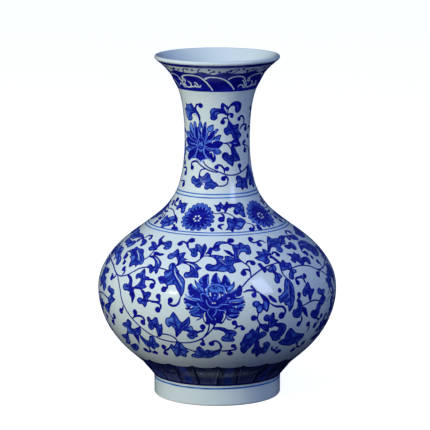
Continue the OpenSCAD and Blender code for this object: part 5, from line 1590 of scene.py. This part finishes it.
class Nodes:
    """A small helper that wires up one material."""

    def __init__(self, name):
        self.material = bpy.data.materials.new(name)
        self.material.use_nodes = True
        self.tree = self.material.node_tree
        self.shader = self.tree.nodes["Principled BSDF"]

    def add(self, kind, **settings):
        node = self.tree.nodes.new(kind)
        for key, value in settings.items():
            if key in node.inputs:
                node.inputs[key].default_value = value
            else:
                setattr(node, key, value)
        return node

    def link(self, source, output, target, socket):
        self.tree.links.new(source.outputs[output], target.inputs[socket])

    def noise(self, size_mm, detail, roughness=0.5):
        """Noise whose blotches are about size_mm across, fixed to the object."""
        place = self.add("ShaderNodeTexCoord")
        noise = self.add("ShaderNodeTexNoise")
        noise.inputs["Scale"].default_value = 1 / (size_mm * MM)
        noise.inputs["Detail"].default_value = detail
        noise.inputs["Roughness"].default_value = roughness
        self.link(place, "Object", noise, "Vector")
        return noise

    def ramp(self, source, output, stops):
        """A colour ramp with a stop for each (position, colour)."""
        ramp = self.add("ShaderNodeValToRGB")
        elements = ramp.color_ramp.elements
        while len(elements) < len(stops):
            elements.new(0.5)
        for element, (position, colour) in zip(elements, stops):
            element.position = position
            element.color = (*colour, 1)
        self.link(source, output, ramp, "Fac")
        return ramp

    def mix(self, factor, first, second, blend="MIX"):
        """factor is a (node, output) pair or a number; first and second are colours or (node, output)."""
        mix = self.add("ShaderNodeMix", data_type="RGBA", blend_type=blend)
        for value, socket in ((factor, 0), (first, 6), (second, 7)):
            if isinstance(value, (int, float)):
                mix.inputs[socket].default_value = value
            elif isinstance(value[0], bpy.types.Node):
                self.tree.links.new(value[0].outputs[value[1]], mix.inputs[socket])
            else:
                mix.inputs[socket].default_value = (*value, 1)
        return mix

    def gloss(self, low, high):
        """Roughness that drifts between low and high over the surface."""
        noise = self.noise(18, 2)
        spread = self.add("ShaderNodeMapRange")
        spread.inputs["From Min"].default_value = 0.35
        spread.inputs["From Max"].default_value = 0.65
        spread.inputs["To Min"].default_value = low
        spread.inputs["To Max"].default_value = high
        self.link(noise, "Fac", spread, "Value")
        self.link(spread, "Result", self.shader, "Roughness")

    def bump(self, size_mm, distance_mm):
        """An uneven surface, with bumps of about this size and height."""
        noise = self.noise(size_mm, 2)
        bump = self.add("ShaderNodeBump")
        bump.inputs["Strength"].default_value = 1.0
        bump.inputs["Distance"].default_value = distance_mm * MM
        self.link(noise, "Fac", bump, "Height")
        self.link(bump, "Normal", self.shader, "Normal")

    def colour(self, node, output):
        self.link(node, output, self.shader, "Base Color")

    def wet_glaze(self, coat):
        """The shine of clear glaze, with so much of a mirror-like coat."""
        self.gloss(0.12, 0.2)
        self.bump(9, 0.012)
        self.shader.inputs["IOR"].default_value = 1.5
        self.shader.inputs["Coat Weight"].default_value = coat
        self.shader.inputs["Coat Roughness"].default_value = 0.03


def glaze_material(name, light, shade):
    """Clear glaze over white porcelain: a faint cast that drifts, tiny specks and a wet shine."""
    n = Nodes(name)
    drift = n.ramp(n.noise(45, 4), "Fac", ((0.3, shade), (0.7, light)))
    specks = n.noise(1.6, 2, 0.6)
    speckled = n.ramp(specks, "Fac", ((0.27, (0.86, 0.88, 0.88)), (0.33, (1, 1, 1))))
    tint = n.mix(0.8, (drift, "Color"), (speckled, "Color"), "MULTIPLY")
    n.colour(tint, "Result")
    n.wet_glaze(0.6)
    return n.material


def cobalt_material(name, deep, mid, pale, blotch_mm=5, depth=False, shine=0.42):
    """Cobalt under glaze: strokes that pool darker and thin out paler, with the glaze's shine above.

    With depth it is a wash, which is deepest along each leaf's rib and has the streaks of a brush."""
    n = Nodes(name)
    stops = ((0.32, deep), (0.5, mid), (0.7, pale))
    tone = n.ramp(n.noise(blotch_mm, 4, 0.6), "Fac", stops)
    if depth:
        layer = n.add("ShaderNodeAttribute", attribute_name="depth")
        pooled = n.mix((layer, "Fac"), (tone, "Color"), deep)
        streaks = n.ramp(n.noise(1.3, 2, 0.6), "Fac", ((0.4, (0.62, 0.66, 0.8)), (0.6, (1, 1, 1))))
        tint = n.mix(0.8, (pooled, "Result"), (streaks, "Color"), "MULTIPLY")
        n.colour(tint, "Result")
    else:
        n.colour(tone, "Color")
    n.wet_glaze(shine)
    n.shader.inputs["Specular IOR Level"].default_value = 0.25
    return n.material


def clay_material(name, light, shade):
    """Unglazed fired porcelain: chalky, with fine pits and faint stains."""
    n = Nodes(name)
    stain = n.ramp(n.noise(14, 5, 0.6), "Fac", ((0.3, shade), (0.65, light)))
    pits = n.ramp(n.noise(0.7, 2), "Fac", ((0.34, (0.75, 0.72, 0.66)), (0.42, (1, 1, 1))))
    tint = n.mix(0.7, (stain, "Color"), (pits, "Color"), "MULTIPLY")
    n.colour(tint, "Result")
    n.gloss(0.6, 0.8)
    n.bump(0.8, 0.05)
    return n.material


# ---------------------------------------------------------------- camera, lights and floor


def set_camera():
    """A long lens, a little above the vase and looking slightly down at it."""
    camera = bpy.data.cameras.new("camera")
    camera.lens = 227.1
    camera.sensor_width = 36
    camera.shift_x = -0.0051
    camera.clip_end = 50
    holder = bpy.data.objects.new("camera", camera)
    holder.location = (0, -2.573, 0.636)
    holder.rotation_euler = (math.radians(90 - 10.17), 0, 0)
    bpy.context.scene.collection.objects.link(holder)
    bpy.context.scene.camera = holder


def panel(name, place, target, size, power, colour, mirrored=True):
    """A rectangular soft light that faces a target; one that isn't mirrored leaves no highlight."""
    light = bpy.data.lights.new(name, "AREA")
    light.shape = "RECTANGLE"
    light.size, light.size_y = size
    light.energy = power
    light.color = colour
    holder = bpy.data.objects.new(name, light)
    holder.location = place
    facing = Vector(target) - Vector(place)
    holder.rotation_euler = facing.to_track_quat("-Z", "Y").to_euler()
    holder.visible_glossy = mirrored
    bpy.context.scene.collection.objects.link(holder)


def set_world():
    """White where the camera sees it; for the vase, a soft room, darker low down and in reflections."""
    world = bpy.data.worlds.new("world")
    bpy.context.scene.world = world
    world.use_nodes = True
    tree = world.node_tree
    nodes = tree.nodes
    nodes.clear()
    links = tree.links
    coordinates = nodes.new("ShaderNodeTexCoord")
    split = nodes.new("ShaderNodeSeparateXYZ")
    links.new(coordinates.outputs["Generated"], split.inputs[0])
    spread = nodes.new("ShaderNodeMapRange")
    spread.inputs["From Min"].default_value = -1
    links.new(split.outputs["Z"], spread.inputs["Value"])
    ramp = nodes.new("ShaderNodeValToRGB")
    elements = ramp.color_ramp.elements
    elements[0].position = 0.35
    elements[0].color = (0.037, 0.049, 0.12, 1)
    elements[1].position = 0.75
    elements[1].color = (0.37, 0.51, 1.0, 1)
    links.new(spread.outputs["Result"], ramp.inputs["Fac"])
    room, mirrored = (nodes.new("ShaderNodeBackground") for _ in range(2))
    room.inputs["Strength"].default_value = 0.5
    mirrored.inputs["Strength"].default_value = 0.12
    seen = nodes.new("ShaderNodeBackground")
    seen.inputs["Color"].default_value = (1, 1, 1, 1)
    for background in (room, mirrored):
        links.new(ramp.outputs["Color"], background.inputs["Color"])
    path = nodes.new("ShaderNodeLightPath")
    reflect, show = (nodes.new("ShaderNodeMixShader") for _ in range(2))
    links.new(path.outputs["Is Glossy Ray"], reflect.inputs["Fac"])
    links.new(room.outputs[0], reflect.inputs[1])
    links.new(mirrored.outputs[0], reflect.inputs[2])
    links.new(path.outputs["Is Camera Ray"], show.inputs["Fac"])
    links.new(reflect.outputs[0], show.inputs[1])
    links.new(seen.outputs[0], show.inputs[2])
    output = nodes.new("ShaderNodeOutputWorld")
    links.new(show.outputs[0], output.inputs["Surface"])


def set_floor():
    """A pale floor that takes a soft shadow."""
    half = 6.0
    count = 12
    across = [-half + 2 * half * i / count for i in range(count + 1)]
    verts = [(x, y, 0) for y in across for x in across]
    corners = [j * (count + 1) + i for j in range(count) for i in range(count)]
    faces = [(c, c + 1, c + count + 2, c + count + 1) for c in corners]
    mesh = bpy.data.meshes.new("floor")
    mesh.from_pydata(verts, [], faces)
    floor = bpy.data.objects.new("floor", mesh)
    bpy.context.scene.collection.objects.link(floor)
    n = Nodes("floor_paper")
    paper = n.ramp(n.noise(300, 3), "Fac", ((0.3, (0.90, 0.90, 0.90)), (0.7, (0.93, 0.93, 0.93))))
    n.colour(paper, "Color")
    n.shader.inputs["Roughness"].default_value = 0.9
    n.shader.inputs["Emission Color"].default_value = (1, 1, 1, 1)
    n.shader.inputs["Emission Strength"].default_value = 0.8
    mesh.materials.append(n.material)
    floor.visible_diffuse = False
    floor.visible_glossy = False


def set_lights():
    """A warm key and a cool fill that leave no highlight, and a window and a card that do."""
    panel("key", (-1.32, -1.19, 0.84), (0, 0, 0.16), (0.7, 0.9), 31, (0.90, 0.89, 0.77), False)
    panel("fill", (0.75, -1.5, 1.1), (0, 0, 0.16), (0.8, 0.8), 5.6, (0.7, 0.8, 1.0), False)
    panel("window", (0.765, -0.688, 0.78), (0, 0, 0.14), (0.27, 0.62), 2.2, (0.54, 0.62, 1.0))
    panel("card", (-0.86, -0.93, 0.60), (0, 0, 0.15), (0.14, 0.09), 0.8, (1, 1, 1))


# ---------------------------------------------------------------- build


def dress_frame():
    """Gives the CAD solids that stay in view their clay, slip and glaze."""
    clay = clay_material("bare_clay", (0.80, 0.78, 0.73), (0.70, 0.67, 0.60))
    slip = clay_material("slip", (0.72, 0.69, 0.62), (0.62, 0.58, 0.50))
    well = glaze_material("well_glaze", (0.74, 0.80, 0.80), (0.68, 0.76, 0.77))
    slots = {part["node"]: part["material_slot"] for part in frame["record"]["subparts"]}
    looks = {"bare_clay": clay, "slip": slip, "clear_glaze": well}
    for name, node in frame["nodes"].items():
        look = looks.get(slots.get(name))
        if look is None:
            continue
        node.data.materials.clear()
        node.data.materials.append(look)


def cobalts():
    """The tones of the painting, each from where it pools deepest to where it is palest."""
    return {
        "line": cobalt_material("cobalt_dark", (0.003, 0.002, 0.155), (0.005, 0.006, 0.24),
                                (0.012, 0.018, 0.36)),
        "wash": cobalt_material("cobalt_wash", (0.009, 0.026, 0.29), (0.06, 0.165, 0.59),
                                (0.19, 0.39, 0.88), blotch_mm=6, depth=True),
        "shade": cobalt_material("cobalt_shade", (0.007, 0.016, 0.24), (0.028, 0.08, 0.44),
                                 (0.09, 0.21, 0.68), blotch_mm=6, depth=True),
        "mist": cobalt_material("cobalt_mist", (0.05, 0.13, 0.56), (0.10, 0.22, 0.70), (0.18, 0.36, 0.84),
                                4),
        "thread": cobalt_material("cobalt_line", (0.014, 0.085, 0.38), (0.026, 0.15, 0.50),
                                  (0.06, 0.25, 0.64), 9),
        "night": cobalt_material("cobalt_night", (0.004, 0.004, 0.05), (0.006, 0.007, 0.075),
                                 (0.01, 0.012, 0.11), 4, shine=0.15),
        # A paler panel cobalt for the lower part of each lappet: a painted reflection of the floor.
        "painted_reflection": cobalt_material("cobalt_painted_reflection", (0.034, 0.04, 0.12), (0.05, 0.058, 0.16),
                                (0.07, 0.08, 0.21), 4),
        "strip": cobalt_material("cobalt_strip", (0.010, 0.022, 0.16), (0.016, 0.04, 0.24),
                                 (0.03, 0.07, 0.34), 5),
        "haze": cobalt_material("cobalt_haze", (0.04, 0.05, 0.17), (0.06, 0.07, 0.22), (0.09, 0.1, 0.28),
                                4),
        "pale": cobalt_material("cobalt_pale", (0.12, 0.16, 0.32), (0.2, 0.25, 0.42), (0.3, 0.34, 0.5),
                                4),
    }


def paint_belly(materials):
    """The scrolls and the large flower, twice round. The flower comes last, over its leaves."""
    belly = Painting("belly", 2, 2.6)
    belly_stems(belly)
    belly_curls(belly)
    belly_flank(belly)
    belly_left_leaves(belly)
    belly_right_leaves(belly)
    peony(belly)
    belly.build(materials)


def paint_shoulder(materials):
    """The row of rosettes and sprays, all round."""
    shoulder = Painting("shoulder", 1, 2.2)
    shoulder_sprays(shoulder)
    shoulder.build(materials)


def paint_neck(materials):
    """The scrolls and the lotus, twice round."""
    neck = Painting("neck", 2, 1.7)
    neck_scrolls(neck)
    lotus(neck)
    neck.build(materials)


def paint_mouth(materials):
    """Two dark bands all round, one under the lip and one with waves, and four groups of marks."""
    groups = 4
    mouth = Painting("mouth", groups, 1.6)
    mouth.turns = [0]
    band(mouth, "line", 381.0, LIP_RUN - 0.3, start=-180, step=4)
    band(mouth, "line", 350.2, wave_edge, start=-180, step=2.5)
    mouth.turns = [360 // groups * i for i in range(groups)]
    mouth.ringed = True
    waves_detail(mouth)
    mouth.build(materials, {"line": ["wave_ground"]})


def paint_lappets(materials):
    """The pairs of panels above the foot, all round."""
    lappet = Painting("lappet", LAPPET_COUNT, 1.8)
    lappet.turns = [-7.8 + LAPPET_PITCH * i for i in range(LAPPET_COUNT)]
    lappets(lappet)
    lappet.build(materials, {"night": ["lappet_ground"]})


def paint_rings(materials):
    """The ring lines, each group with the run and width of its lines and the CAD node it stands for."""
    for name, lines, node in (("foot_ring_line", ((16.6, 1.6),), "foot_line"),
                              ("shoulder_ring_lines", ((203.9, 1.2), (207.2, 1.4)), "shoulder_lines"),
                              ("neck_ring_lines", ((246.8, 1.25), (250.1, 1.25)), "neck_lines")):
        rings = Painting(name, 1, 3.0)
        for run, width in lines:
            ring_line(rings, run, width)
        rings.build(materials, {"thread": [node]})


def build_vase():
    """The whole vase: clay, slip and glaze first, then the painting from belly to ring lines."""
    dress_frame()
    glaze = glaze_material("glaze_over_porcelain", (0.675, 0.765, 0.745), (0.635, 0.74, 0.73))
    outer_coat(glaze)
    inner_coat(glaze)
    materials = cobalts()
    paint_belly(materials)
    paint_shoulder(materials)
    paint_neck(materials)
    paint_mouth(materials)
    paint_lappets(materials)
    paint_rings(materials)


bpy.context.scene.view_settings.view_transform = "Standard"
set_camera()
set_world()
set_floor()
set_lights()
build_vase()
